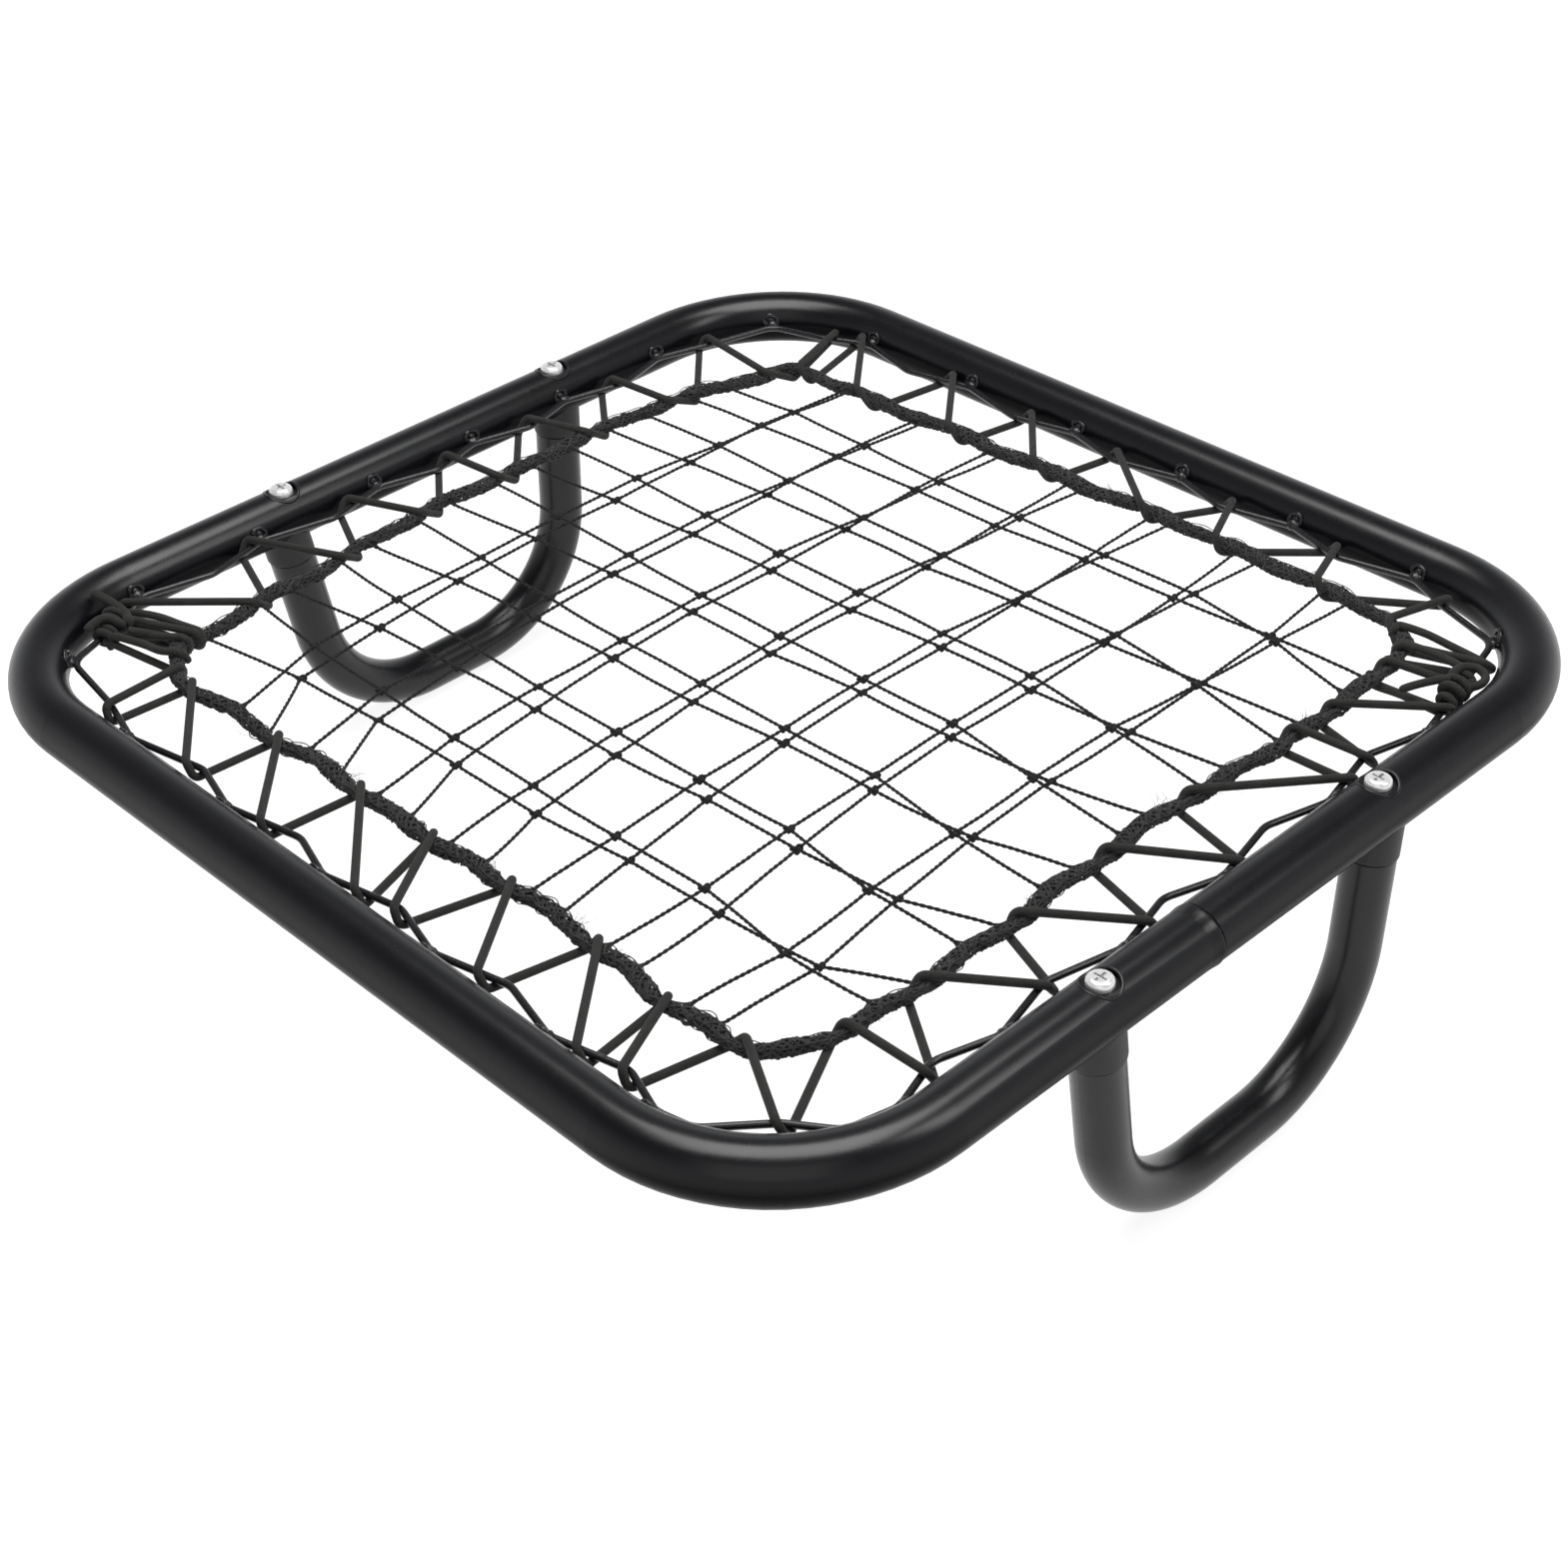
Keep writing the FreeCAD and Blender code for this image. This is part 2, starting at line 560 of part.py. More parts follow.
def cord_path(cord):
    """The whole route of a lacing cord, from the knot that it starts in to the knot that it ends in."""
    points = [knot_place(*cord["start"])[0], rope_turn(cord["first_turn"], -1)]
    radii = [0, ROPE_WRAP * WRAP_BEND]
    for rope_top, wire_top, wire_bottom, rope_bottom in cord["stitches"]:
        points += [rope_turn(rope_top, 1), wire_turn(wire_top, 1)]
        points += [wire_turn(wire_bottom, -1), rope_turn(rope_bottom, -1)]
        radii += [ROPE_WRAP * WRAP_BEND, WIRE_WRAP * WRAP_BEND, WIRE_WRAP * WRAP_BEND, ROPE_WRAP * WRAP_BEND]
    points += [rope_turn(cord["last_turn"], 1), knot_place(*cord["end"])[0]]
    radii += [ROPE_WRAP * WRAP_BEND, 0]
    return rounded_path(points, radii)


def make_cord(name, cord):
    path = cord_path(cord)
    solid = tube_along(path, CORD_RADIUS)
    expected = math.pi * CORD_RADIUS ** 2 * path.Length
    print("%s: length %.0f mm, volume over section times length %.4f" % (name, path.Length, solid.Volume / expected))
    return solid


def knot_place(name, shift=0.0):
    """The middle of a corner knot, or a point shifted along the wire from it, and the inward direction."""
    side, along = KNOT_PLACES[name]
    place = (side, along + shift)
    point, inward = ring_place(place, inward_on(WIRE_PATH, place) + KNOT_INWARD)
    return at_height(point, WIRE_HEIGHT), inward


def make_corner_knot(name, wire, cords):
    """The bunch where the ends of the two cords are wound round the wire and tied."""
    point, inward = knot_place(name)
    knot = Part.makeSphere(1)
    knot.rotate(V(0, 0, 0), V(0, 0, 1), 90)    # keeps the knot's seam clear of the strands
    stretch = FreeCAD.Matrix()
    stretch.scale(CORNER_KNOT_LENGTH / 2, CORNER_KNOT_WIDTH / 2, CORNER_KNOT_HEIGHT / 2)
    knot = knot.transformGeometry(stretch)
    knot.rotate(V(0, 0, 0), V(0, 0, 1), math.degrees(math.atan2(inward.y, inward.x)) + 90)
    knot.translate(point)
    for strand in [wire] + cords:
        knot = knot.cut(strand)
    return max(knot.Solids, key=lambda solid: solid.Volume)


# ---- build --------------------------------------------------------------------------------

def build():
    nodes = {}
    frame_tube = make_frame_tube()
    wire = make_lacing_wire()
    nodes["frame_tube"] = frame_tube
    nodes["joint_sleeve"] = make_joint_sleeve()
    nodes["lacing_wire"] = wire
    nodes["weld_beads"] = make_weld_beads(wire)
    for handle, (x, y_middle, lean) in HANDLES.items():
        nodes["handle_" + handle] = make_handle(x, y_middle, lean)
        for leg, sign in LEGS.items():
            nodes["saddle_%s_%s" % (handle, leg)] = make_saddle(x, y_middle, lean, sign)
    for name, x, y in screw_places():
        nodes["screw_" + name] = make_screw(x, y)
        nodes["nut_" + name] = make_nut(x, y)
    layer_height = KNOT_RADIUS + LAYER_GAP / 2
    nodes["net_upper"] = make_net(UPPER_NET, layer_height)
    nodes["net_lower"] = make_net(LOWER_NET, -layer_height)
    for name, cord in CORDS.items():
        nodes[name] = make_cord(name, cord)
    cords = [nodes[name] for name in CORDS]
    nodes["border_rope"] = make_border_rope(cords)
    for name in KNOT_PLACES:
        nodes["corner_knot_" + name] = make_corner_knot(name, wire, cords)
    return nodes


nodes = build()
os.makedirs("parts", exist_ok=True)
for name, shape in nodes.items():
    moved = lowered(shape)
    print("%-22s solids %3d  volume %10.1f  valid %s" % (name, len(moved.Solids), moved.Volume, moved.isValid()))
    moved.exportStep("parts/%s.step" % name)
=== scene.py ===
"""Looks of the pitch back rebounder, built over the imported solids."""
import json
import math
import random

import bpy
import numpy as np
from mathutils import Matrix, Vector


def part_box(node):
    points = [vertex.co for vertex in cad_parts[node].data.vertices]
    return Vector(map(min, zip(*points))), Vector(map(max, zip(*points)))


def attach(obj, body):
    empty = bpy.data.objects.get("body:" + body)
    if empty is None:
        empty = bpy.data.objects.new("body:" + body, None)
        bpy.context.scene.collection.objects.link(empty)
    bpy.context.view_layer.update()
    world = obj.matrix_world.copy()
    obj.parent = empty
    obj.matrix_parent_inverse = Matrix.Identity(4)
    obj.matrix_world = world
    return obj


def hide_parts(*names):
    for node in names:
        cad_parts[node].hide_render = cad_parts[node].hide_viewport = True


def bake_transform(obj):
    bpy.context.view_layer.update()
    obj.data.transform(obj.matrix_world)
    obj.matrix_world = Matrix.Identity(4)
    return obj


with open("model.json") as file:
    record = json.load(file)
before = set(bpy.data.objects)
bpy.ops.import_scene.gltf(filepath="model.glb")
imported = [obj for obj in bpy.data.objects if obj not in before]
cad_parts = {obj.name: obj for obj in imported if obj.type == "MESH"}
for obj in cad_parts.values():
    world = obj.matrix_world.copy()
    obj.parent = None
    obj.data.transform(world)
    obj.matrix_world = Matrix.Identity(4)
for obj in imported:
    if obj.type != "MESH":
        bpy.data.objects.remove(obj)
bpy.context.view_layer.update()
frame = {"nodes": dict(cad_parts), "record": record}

nodes = frame["nodes"]
scene = bpy.context.scene
MM = 0.001

# ---- sizes of the solids, in millimetres, as the part's source has them ----

HALF_X, HALF_Y = 282.75, 273.5
BEND = 89.05
FRAME_HEIGHT = 147.8
TUBE_RADIUS = 14.3
STRAIGHT_X, STRAIGHT_Y = HALF_X - BEND, HALF_Y - BEND
CORNER_ARC = BEND * math.pi / 2
WIRE_RADIUS, WIRE_HEIGHT, WIRE_BEND, WIRE_REACH = 1.7, 1.0, 13.0, 25.2
WELD_INWARD = 0.05 + math.sqrt((TUBE_RADIUS + WIRE_RADIUS) ** 2 - WIRE_HEIGHT ** 2)
ROPE_BEND = 26.0
CORD_RADIUS = 2.0
WIRE_WRAP = WIRE_RADIUS + CORD_RADIUS + 0.2
KNOT_RADIUS, LAYER_GAP = 1.9, 0.4
MESH_X, MESH_Y = 55.5, 53.8
NET_ROWS = 7

FRONT, RIGHT, BACK, LEFT = range(4)

# Wire: places of the welds and of the inner bends on each side, in order round the frame.
WELDS = {
    FRONT: (-164, -86, -14, 62, 137, 202, 224),
    RIGHT: (-222, -192, -133, -58, 6, 80, 153, 252),
    BACK: (-186, -112, -39, 34, 111, 188, 265),
    LEFT: (-164, -94, -29, 36, 111, 186, 264),
}
WIRE_BENDS = {
    FRONT: (-197, -118, -43, 29, 102, 176, 266),
    RIGHT: (-163, -97, -22, 47, 119, 206),
    BACK: (-219, -146, -72, -1, 70, 150, 223),
    LEFT: (-204, -130, -62, 3, 72, 148, 227),
}

# Border rope: (along, inward) from the frame's centreline.  It is drawn out at each lacing wrap.
ROPE = {
    FRONT: ((-194, 61), (-179, 57), (-150, 64), (-113, 60), (-86, 67), (-54, 63), (-28, 66), (2, 63),
            (24, 68), (46, 65), (72, 70), (103, 65), (128, 67), (154, 60), (176, 66), (197, 63), (232, 65)),
    RIGHT: ((-206, 68), (-176, 61), (-155, 64), (-134, 58), (-103, 63), (-75, 58), (-45, 65), (-17, 60),
            (14, 66), (46, 60), (72, 62), (98, 57), (117, 59), (137, 56), (160, 61), (179, 59), (215, 60),
            (255, 55)),
    BACK: ((-236, 56), (-209, 54), (-184, 54), (-159, 49), (-130, 53), (-100, 50), (-70, 53), (-45, 50),
           (-12, 57), (21, 53), (50, 59), (83, 55), (116, 62), (151, 59), (172, 65), (193, 61), (245, 64)),
    LEFT: ((-222, 76), (-185, 75), (-168, 69), (-151, 60), (-118, 59), (-90, 53), (-59, 56), (-28, 54),
           (-3, 56), (23, 51), (50, 57), (80, 56), (110, 64), (140, 60), (165, 68), (188, 69), (226, 63),
           (262, 66)),
}

# Lacing: the cord leaves the top of the rope, crosses the wire, turns under it, comes back under the
# rope and turns up round its inner edge.  Each stitch is those four places along its side.  They
# follow the photo, so some lie up to about 11 mm from the places of the plainer solid cords.


def on(side, *stitches):
    """Stitches whose four places are all on one side, each place as (side, along)."""
    return [tuple((side, along) for along in stitch) for stitch in stitches]


CORD_ONE = (
    *on(FRONT, (-194, -191, -187, -188), (-179, -124, -120, -121), (-112, -62, -59, -59), (-53, 8, 12, -8),
        (0, 30, 34, 43), (51, 89, 93, 100), (108, 154, 158, 149), (156, 176, 180, 187)),
    ((FRONT, 208), (FRONT, 264), (FRONT, 269), (RIGHT, -176)),
    *on(RIGHT, (-170, -172, -167, -136), (-129, -101, -95, -77), (-72, -41, -35, -20), (-13, 17, 23, 38),
        (43, 98, 103, 105), (114, 115, 121, 134), (140, 172, 178, 178)),
)
CORD_TWO = (
    *on(RIGHT, (238, 222, 231, 265)),
    *on(BACK, (-212, -218, -212, -157), (-152, -143, -137, -93), (-90, -77, -71, -47), (-41, 0, 6, 18),
        (29, 62, 68, 80), (89, 124, 130, 142), (155, 195, 200, 190), (203, 214, 220, 216)),
    *on(LEFT, (-226, -200, -194, -154), (-132, -125, -119, -93), (-78, -63, -57, -28), (-14, -7, -1, 22),
        (38, 58, 64, 78), (93, 119, 124, 137), (149, 201, 206, 187), (194, 216, 221, 211)),
)
# Where the two cords are knotted together: the middle of the wrapped stretch of wire.
KNOT_PLACES = {"left": (LEFT, 233), "right": (RIGHT, 207)}
KNOT_INWARD = 3.0
# Each cord: its first knot and the shift along the wire there, the first place under the rope, its
# stitches, the last place on top of the rope, and its last knot with the shift there.
CORDS = {
    "lacing_cord_one": (("left", 5.0), (FRONT, -210), CORD_ONE, (RIGHT, 185), ("right", -8.0)),
    "lacing_cord_two": (("right", 6.0), (RIGHT, 228), CORD_TWO, (LEFT, 222), ("left", -3.0)),
}
NETS = {
    "net_upper": {
        "height": KNOT_RADIUS + LAYER_GAP / 2,
        "middle": (-0.3, 7.5),
        "row_shift": (6, 2, -4, -4, -2, -1, 3),
        "column_shift": (1, 0, -1, 0, 1, 3, -4),
        "ends": {FRONT: (17, -3.8), RIGHT: (-12, 2.6), BACK: (4, 0), LEFT: (-4, 1.5)},
    },
    "net_lower": {
        "height": -KNOT_RADIUS - LAYER_GAP / 2,
        "middle": (2.7, 0.3),
        "row_shift": (-6, -4, -3, -4, -1, 5, 13),
        "column_shift": (-10, -6, -3, -2, 4, 6, 11),
        "ends": {FRONT: (29, -5.2), RIGHT: (0, 3.3), BACK: (7, -2.0), LEFT: (-6, -0.9)},
    },
}

# ---- camera ----

AZIMUTH, ELEVATION, ROLL = math.radians(47.29), math.radians(36.05), math.radians(-2.37)
SENSOR, LENS = 36.0, 62.28
DISTANCE, RIGHTWARD, DOWNWARD = 1.3038, 0.0043, 0.0647     # metres, from the middle of the frame
view_back = Vector((math.sin(AZIMUTH) * math.cos(ELEVATION), -math.cos(AZIMUTH) * math.cos(ELEVATION),
                    math.sin(ELEVATION)))
level_right = Vector((math.cos(AZIMUTH), math.sin(AZIMUTH), 0))
level_up = view_back.cross(level_right)
view_right = level_right * math.cos(ROLL) + level_up * math.sin(ROLL)
view_up = level_up * math.cos(ROLL) - level_right * math.sin(ROLL)
camera_data = bpy.data.cameras.new("camera")
camera_data.sensor_width = SENSOR
camera_data.lens = LENS
camera = bpy.data.objects.new("camera", camera_data)
scene.collection.objects.link(camera)
place = view_back * DISTANCE + view_right * RIGHTWARD - view_up * DOWNWARD
place = place + Vector((0, 0, FRAME_HEIGHT * MM))
turn = Matrix((view_right, view_up, view_back)).transposed().to_4x4()
camera.matrix_world = Matrix.Translation(place) @ turn
scene.camera = camera
scene.view_settings.view_transform = "Standard"

# ---- materials ----


class Shader:
    """A material's or the world's node tree, put together node by node."""

    def __init__(self, owner, output):
        owner.use_nodes = True
        self.owner, self.tree = owner, owner.node_tree
        self.tree.nodes.clear()
        self.out = self.tree.nodes.new(output)

    def put(self, socket, value):
        if isinstance(value, bpy.types.NodeSocket):
            self.tree.links.new(value, socket)
        else:
            socket.default_value = value

    def node(self, kind, **values):
        """A node with its inputs filled; the spaces of their names are written as underscores."""
        node = self.tree.nodes.new(kind)
        for key, value in values.items():
            self.put(node.inputs[key.replace("_", " ")], value)
        return node

    def math(self, operation, *values, clamp=False):
        node = self.tree.nodes.new("ShaderNodeMath")
        node.operation = operation
        node.use_clamp = clamp
        for socket, value in zip(node.inputs, values):
            self.put(socket, value)
        return node.outputs[0]

    def noise(self, scale, detail=2.0, roughness=0.5):
        place = self.node("ShaderNodeTexCoord").outputs["Object"]
        cloud = self.node("ShaderNodeTexNoise", Vector=place, Scale=scale, Detail=detail, Roughness=roughness)
        return cloud.outputs["Fac"]

    def spread(self, value, low, high):
        """A 0 to 1 value spread between two others."""
        return self.node("ShaderNodeMapRange", Value=value, To_Min=low, To_Max=high).outputs["Result"]

    def blend(self, share, low, high):
        """A mix of two colours; inputs 6 and 7 and output 2 are the node's colour sockets."""
        node = self.tree.nodes.new("ShaderNodeMix")
        node.data_type = "RGBA"
        self.put(node.inputs[0], share)
        node.inputs[6].default_value = (*low, 1)
        node.inputs[7].default_value = (*high, 1)
        return node.outputs[2]

    def bump(self, height, depth, strength, under=None):
        node = self.node("ShaderNodeBump", Height=height, Distance=depth, Strength=strength)
        if under:
            self.put(node.inputs["Normal"], under)
        return node.outputs[0]

    def finish(self, colour, roughness, specular, normal, **extra):
        node = self.node("ShaderNodeBsdfPrincipled", Base_Color=colour, Roughness=roughness,
                         Specular_IOR_Level=specular, Normal=normal, **extra)
        self.put(self.out.inputs[0], node.outputs[0])
        return self.owner


def surface(name):
    return Shader(bpy.data.materials.new(name), "ShaderNodeOutputMaterial")


def satin_paint(name, under, upper):
    """Black paint, glossier where it faces up than underneath: the weaker reflection underneath is painted
    shade that dims the floor seen in its lower faces.
    """
    s = surface(name)
    haze = s.noise(55, 3, 0.6)
    fine = s.noise(1500)
    broad = s.noise(18)
    facing = s.node("ShaderNodeSeparateXYZ", Vector=s.node("ShaderNodeNewGeometry").outputs["Normal"])
    # Reflection strength follows the facing: it is turned down on lower faces as painted shade.
    underside_shade_gloss = s.spread(s.math("MULTIPLY_ADD", facing.outputs["Z"], 1.5, -0.05), under, upper)
    colour = s.blend(broad, (0.002, 0.002, 0.0026), (0.004, 0.004, 0.0056))
    normal = s.bump(fine, 0.00002, 0.5, s.bump(broad, 0.0006, 0.25))
    return s.finish(colour, s.spread(haze, 0.24, 0.32), underside_shade_gloss, normal)


def gloss_wire():
    s = surface("gloss_black_wire")
    runs = s.noise(240, 3)
    fine = s.noise(900)
    colour = s.blend(runs, (0.005, 0.005, 0.006), (0.014, 0.014, 0.016))
    return s.finish(colour, s.spread(fine, 0.16, 0.34), 0.45, s.bump(runs, 0.0004, 0.35))


def moulded_plastic():
    s = surface("black_plastic")
    grain = s.noise(1400, 3, 0.7)
    broad = s.noise(60)
    colour = s.blend(broad, (0.014, 0.014, 0.015), (0.022, 0.022, 0.024))
    return s.finish(colour, s.spread(broad, 0.44, 0.56), 0.30, s.bump(grain, 0.00008, 0.5))


def plated(name, dark, light, rough, metal):
    s = surface(name)
    cloud = s.noise(300, 3)
    colour = s.blend(cloud, dark, light)
    normal = s.bump(s.noise(1200), 0.00003, 0.4)
    return s.finish(colour, s.spread(cloud, *rough), 0.5, normal, Metallic=metal)


def braided_cord():
    """Fine diagonal braid drawn in the cord's own coordinates: round it, and along it in millimetres."""
    yarns, pitch = 9, 1.15
    s = surface("elastic_cord")
    split = s.node("ShaderNodeSeparateXYZ", Vector=s.node("ShaderNodeUVMap").outputs[0])
    round_it = s.math("MULTIPLY", split.outputs["X"], 2 * math.pi * yarns)
    along = s.math("MULTIPLY", split.outputs["Y"], 2 * math.pi / pitch)
    rising = s.math("SINE", s.math("ADD", round_it, along))
    falling = s.math("SINE", s.math("SUBTRACT", round_it, along))
    weave = s.math("MULTIPLY", rising, falling)
    height = s.math("MULTIPLY_ADD", weave, 0.5, 0.5)
    patch = s.noise(130, 3, 0.6)
    fuzz = s.noise(2500)
    # Tone comes from random patches and from the weave's height: its low parts are painted darker, as painted
    # shade between the yarns.
    tone = s.math("MULTIPLY_ADD", patch, 0.6, s.math("MULTIPLY", height, 0.5))
    colour = s.blend(tone, (0.010, 0.010, 0.0097), (0.040, 0.039, 0.037))
    normal = s.bump(fuzz, 0.00006, 0.5, s.bump(height, 0.00022, 0.8))
    return s.finish(colour, 0.72, 0.10, normal, Sheen_Weight=0.10, Sheen_Roughness=0.45)


def fibre(name, dark, light, grain, sheen):
    """Twisted fibre: fine streaks with lighter and darker stretches."""
    s = surface(name)
    streaks = s.noise(grain, 4, 0.65)
    patch = s.noise(90)
    tone = s.math("MULTIPLY_ADD", streaks, 0.7, s.math("MULTIPLY", patch, 0.4))
    colour = s.blend(tone, dark, light)
    return s.finish(colour, 0.78, 0.08, s.bump(streaks, 0.0002, 0.7), Sheen_Weight=sheen, Sheen_Roughness=0.5)


# black_paint reflects 0.42 on top and 0.05 underneath: painted shade on the frame's lower faces.
FINISHES = {
    "black_paint": satin_paint("black_paint", 0.05, 0.42),
    "gloss_black_wire": gloss_wire(),
    "black_plastic": moulded_plastic(),
    "plated_steel": plated("plated_steel", (0.78, 0.78, 0.78), (0.92, 0.92, 0.92), (0.20, 0.30), 0.50),
    "plain_steel": plated("plain_steel", (0.36, 0.36, 0.37), (0.52, 0.52, 0.52), (0.30, 0.42), 1.0),
    "net_twine": fibre("net_twine", (0.006, 0.006, 0.0065), (0.026, 0.026, 0.027), 2200, 0.06),
    "hem_rope": fibre("hem_rope", (0.006, 0.006, 0.0062), (0.062, 0.062, 0.062), 1300, 0.10),
    "elastic_cord": braided_cord(),
}
HANDLE_PAINT = satin_paint("handle_paint", 0.38, 0.42)
# Paint with almost no reflection, for the narrow gaps at the saddles and the seam: painted shade in those
# gaps.
GAP_SHADE_PAINT = satin_paint("dark_gap", 0.02, 0.02)
for row in frame["record"]["subparts"]:
    mesh = nodes[row["node"]].data
    mesh.materials.clear()
    painted_handle = row["node"].startswith("handle")
    mesh.materials.append(HANDLE_PAINT if painted_handle else FINISHES[row["material_slot"]])

# ---- places and routes ----


def ring(place, inward):
    """Plan position and inward direction of a place, the given distance inside the tube's centreline."""
    side, along = place
    straight, across = ((STRAIGHT_X, HALF_Y), (STRAIGHT_Y, HALF_X))[side % 2]
    beyond = abs(along) - straight
    if beyond <= 0:
        u, v = along, inward - across
        normal = (0.0, 1.0)
    else:
        angle = beyond / BEND
        radius = BEND - inward
        sign = math.copysign(1.0, along)
        u = sign * (straight + radius * math.sin(angle))
        v = BEND - across - radius * math.cos(angle)
        normal = (-sign * math.sin(angle), math.cos(angle))
    cosine, sine = math.cos(side * math.pi / 2), math.sin(side * math.pi / 2)
    spin = np.array(((cosine, -sine), (sine, cosine)))
    return spin @ (u, v), spin @ normal


def station(place):
    """Distance round the frame's centreline, anticlockwise from the middle of the front."""
    side, along = place
    starts = (0.0, STRAIGHT_X + CORNER_ARC + STRAIGHT_Y)
    return (side // 2) * 2 * starts[1] + starts[side % 2] + along


def rounded(points, radii, closed=False, step=1.0, turn_step=0.16):
    """Dense points along straight runs joined by tangent arcs."""
    points = [np.array(p, float) for p in points]
    count = len(points)
    corners = range(count) if closed else range(1, count - 1)
    arcs = []
    for i in corners:
        back, ahead = points[i - 1] - points[i], points[(i + 1) % count] - points[i]
        back_length, ahead_length = np.linalg.norm(back), np.linalg.norm(ahead)
        back, ahead = back / back_length, ahead / ahead_length
        turn = math.pi - math.acos(max(-1.0, min(1.0, float(back @ ahead))))
        if turn < 1e-4:
            continue
        back_share = 0.98 if not closed and i == 1 else 0.49
        ahead_share = 0.98 if not closed and i == count - 2 else 0.49
        reach = min(radii[i] * math.tan(turn / 2), back_share * back_length, ahead_share * ahead_length)
        radius = reach / math.tan(turn / 2)
        to_centre = (back + ahead) / np.linalg.norm(back + ahead)
        centre = points[i] + to_centre * radius / math.cos(turn / 2)
        start = points[i] + back * reach
        first = (start - centre) / radius
        steps = max(2, int(turn / turn_step))
        arcs.append([centre + radius * (math.cos(a) * first - math.sin(a) * back)
                     for a in np.linspace(0, turn, steps + 1)])
    dense = []
    if not closed:
        arcs = [[points[0]]] + arcs + [[points[-1]]]
    for i, arc in enumerate(arcs):
        dense += arc
        if closed or i < len(arcs) - 1:
            start, end = arc[-1], arcs[(i + 1) % len(arcs)][0]
            gaps = max(1, int(np.linalg.norm(end - start) / step))
            dense += [start + (end - start) * j / gaps for j in range(1, gaps)]
    return np.array(dense)


def at_height(point, z):
    return np.array((point[0], point[1], z))


def route_through(rows, bend):
    """A closed flat route through rows of (place, inward), in order round the frame."""
    rows = sorted(rows, key=lambda row: station(row[0]))
    return rounded([at_height(ring(*row)[0], 0) for row in rows], [bend] * len(rows), True)


WIRE_ROUTE = route_through([((side, along), WELD_INWARD) for side in WELDS for along in WELDS[side]]
                           + [((side, along), WIRE_REACH) for side in WIRE_BENDS
                              for along in WIRE_BENDS[side]], WIRE_BEND)
ROPE_ROUTE = route_through([((side, along), inward) for side in ROPE for along, inward in ROPE[side]],
                           ROPE_BEND)


def inward_on(route, place):
    """How far inside the frame's centreline a flat route runs at a place."""
    outer, inward = ring(place, 0)
    sideways = np.array((-inward[1], inward[0]))
    offset = (route[:, :2] - outer) @ sideways
    depth = (route[:, :2] - outer) @ inward
    after, depth_after = np.roll(offset, -1), np.roll(depth, -1)
    hits = np.nonzero((offset * after <= 0) & (depth > 0) & (depth < BEND - 1))[0]
    i = hits[0]
    share = offset[i] / (offset[i] - after[i]) if offset[i] != after[i] else 0.0
    return depth[i] + share * (depth_after[i] - depth[i])


# ---- meshes ----

UP, ALONG_X, ALONG_Y = np.array((0.0, 0.0, 1.0)), np.array((1.0, 0.0, 0.0)), np.array((0.0, 1.0, 0.0))


def unit(rows):
    return rows / np.maximum(np.linalg.norm(rows, axis=-1, keepdims=True), 1e-12)


def whole_turn(count):
    """Angles spread evenly over one turn."""
    return np.linspace(0, 2 * math.pi, count, endpoint=False)


def tangents(path, closed):
    if closed:
        return unit(np.roll(path, -1, axis=0) - np.roll(path, 1, axis=0))
    return unit(np.gradient(path, axis=0))


def distances(path):
    """How far along a path each of its points lies."""
    return np.concatenate(([0], np.cumsum(np.linalg.norm(np.diff(path, axis=0), axis=1))))


def sides_of(path, closed, level):
    """Two directions across a path: level keeps the second one up, otherwise the pair turns the least."""
    ahead = tangents(path, closed)
    if level:
        first = unit(np.cross(ahead, UP))
        return first, np.cross(first, ahead)
    first = np.zeros_like(path)
    start = np.cross(ahead[0], UP)
    if np.linalg.norm(start) < 0.1:
        start = np.cross(ahead[0], ALONG_X)
    first[0] = start / np.linalg.norm(start)
    for i in range(1, len(path)):
        carried = first[i - 1] - ahead[i] * (first[i - 1] @ ahead[i])
        first[i] = carried / np.linalg.norm(carried)
    return first, np.cross(first, ahead)


# A bar's rounded end: how far past it and how wide, in radii.
ROUND_END = ((0.95, 0.05), (0.60, 0.75))


class Soup:
    """Rings of points gathered into one mesh."""

    def __init__(self):
        self.points, self.quads, self.places, self.count = [], [], [], 0

    def grid(self, rings, lengths=None, closed=False):
        """Join rings of points, shaped (rings, sides, 3), with their distances along."""
        rings = np.asarray(rings)
        n, sides = rings.shape[:2]
        if lengths is None:
            lengths = np.arange(float(n))
        rows = np.arange(n if closed else n - 1)
        i, j = np.meshgrid(rows, np.arange(sides), indexing="ij")
        below, above = i * sides, ((i + 1) % n) * sides
        right = (j + 1) % sides
        quads = np.stack((below + j, below + right, above + right, above + j), -1).reshape(-1, 4)
        next_length = np.append(lengths[1:], lengths[-1] + (lengths[-1] - lengths[-2]))[i]
        u0, u1 = j / sides, (j + 1) / sides
        low = lengths[i]
        corners = np.stack((u0, low, u1, low, u1, next_length, u0, next_length), -1)
        self.points.append(rings.reshape(-1, 3))
        self.quads.append(quads + self.count)
        self.places.append(corners.reshape(-1, 4, 2))
        self.count += n * sides

    def tube(self, path, radius, sides=6, closed=False, level=False, frames=None, start=0.0, caps=True):
        """A bar along a path; its radius may change along it."""
        path = np.asarray(path, float)
        radius = np.broadcast_to(np.asarray(radius, float), (len(path),))
        if caps and not closed:
            ahead = tangents(path, False)
            before = [path[0] - ahead[0] * radius[0] * past for past, _ in ROUND_END]
            after = [path[-1] + ahead[-1] * radius[-1] * past for past, _ in ROUND_END[::-1]]
            path = np.concatenate((before, path, after))
            shares = np.array([share for _, share in ROUND_END])
            radius = np.concatenate((radius[0] * shares, radius, radius[-1] * shares[::-1]))
        first, second = frames if frames is not None else sides_of(path, closed, level)
        angles = whole_turn(sides)[None, :, None]
        shape = np.cos(angles) * first[:, None] + np.sin(angles) * second[:, None]
        rings = path[:, None] + radius[:, None, None] * shape
        self.grid(rings, start + distances(path), closed)


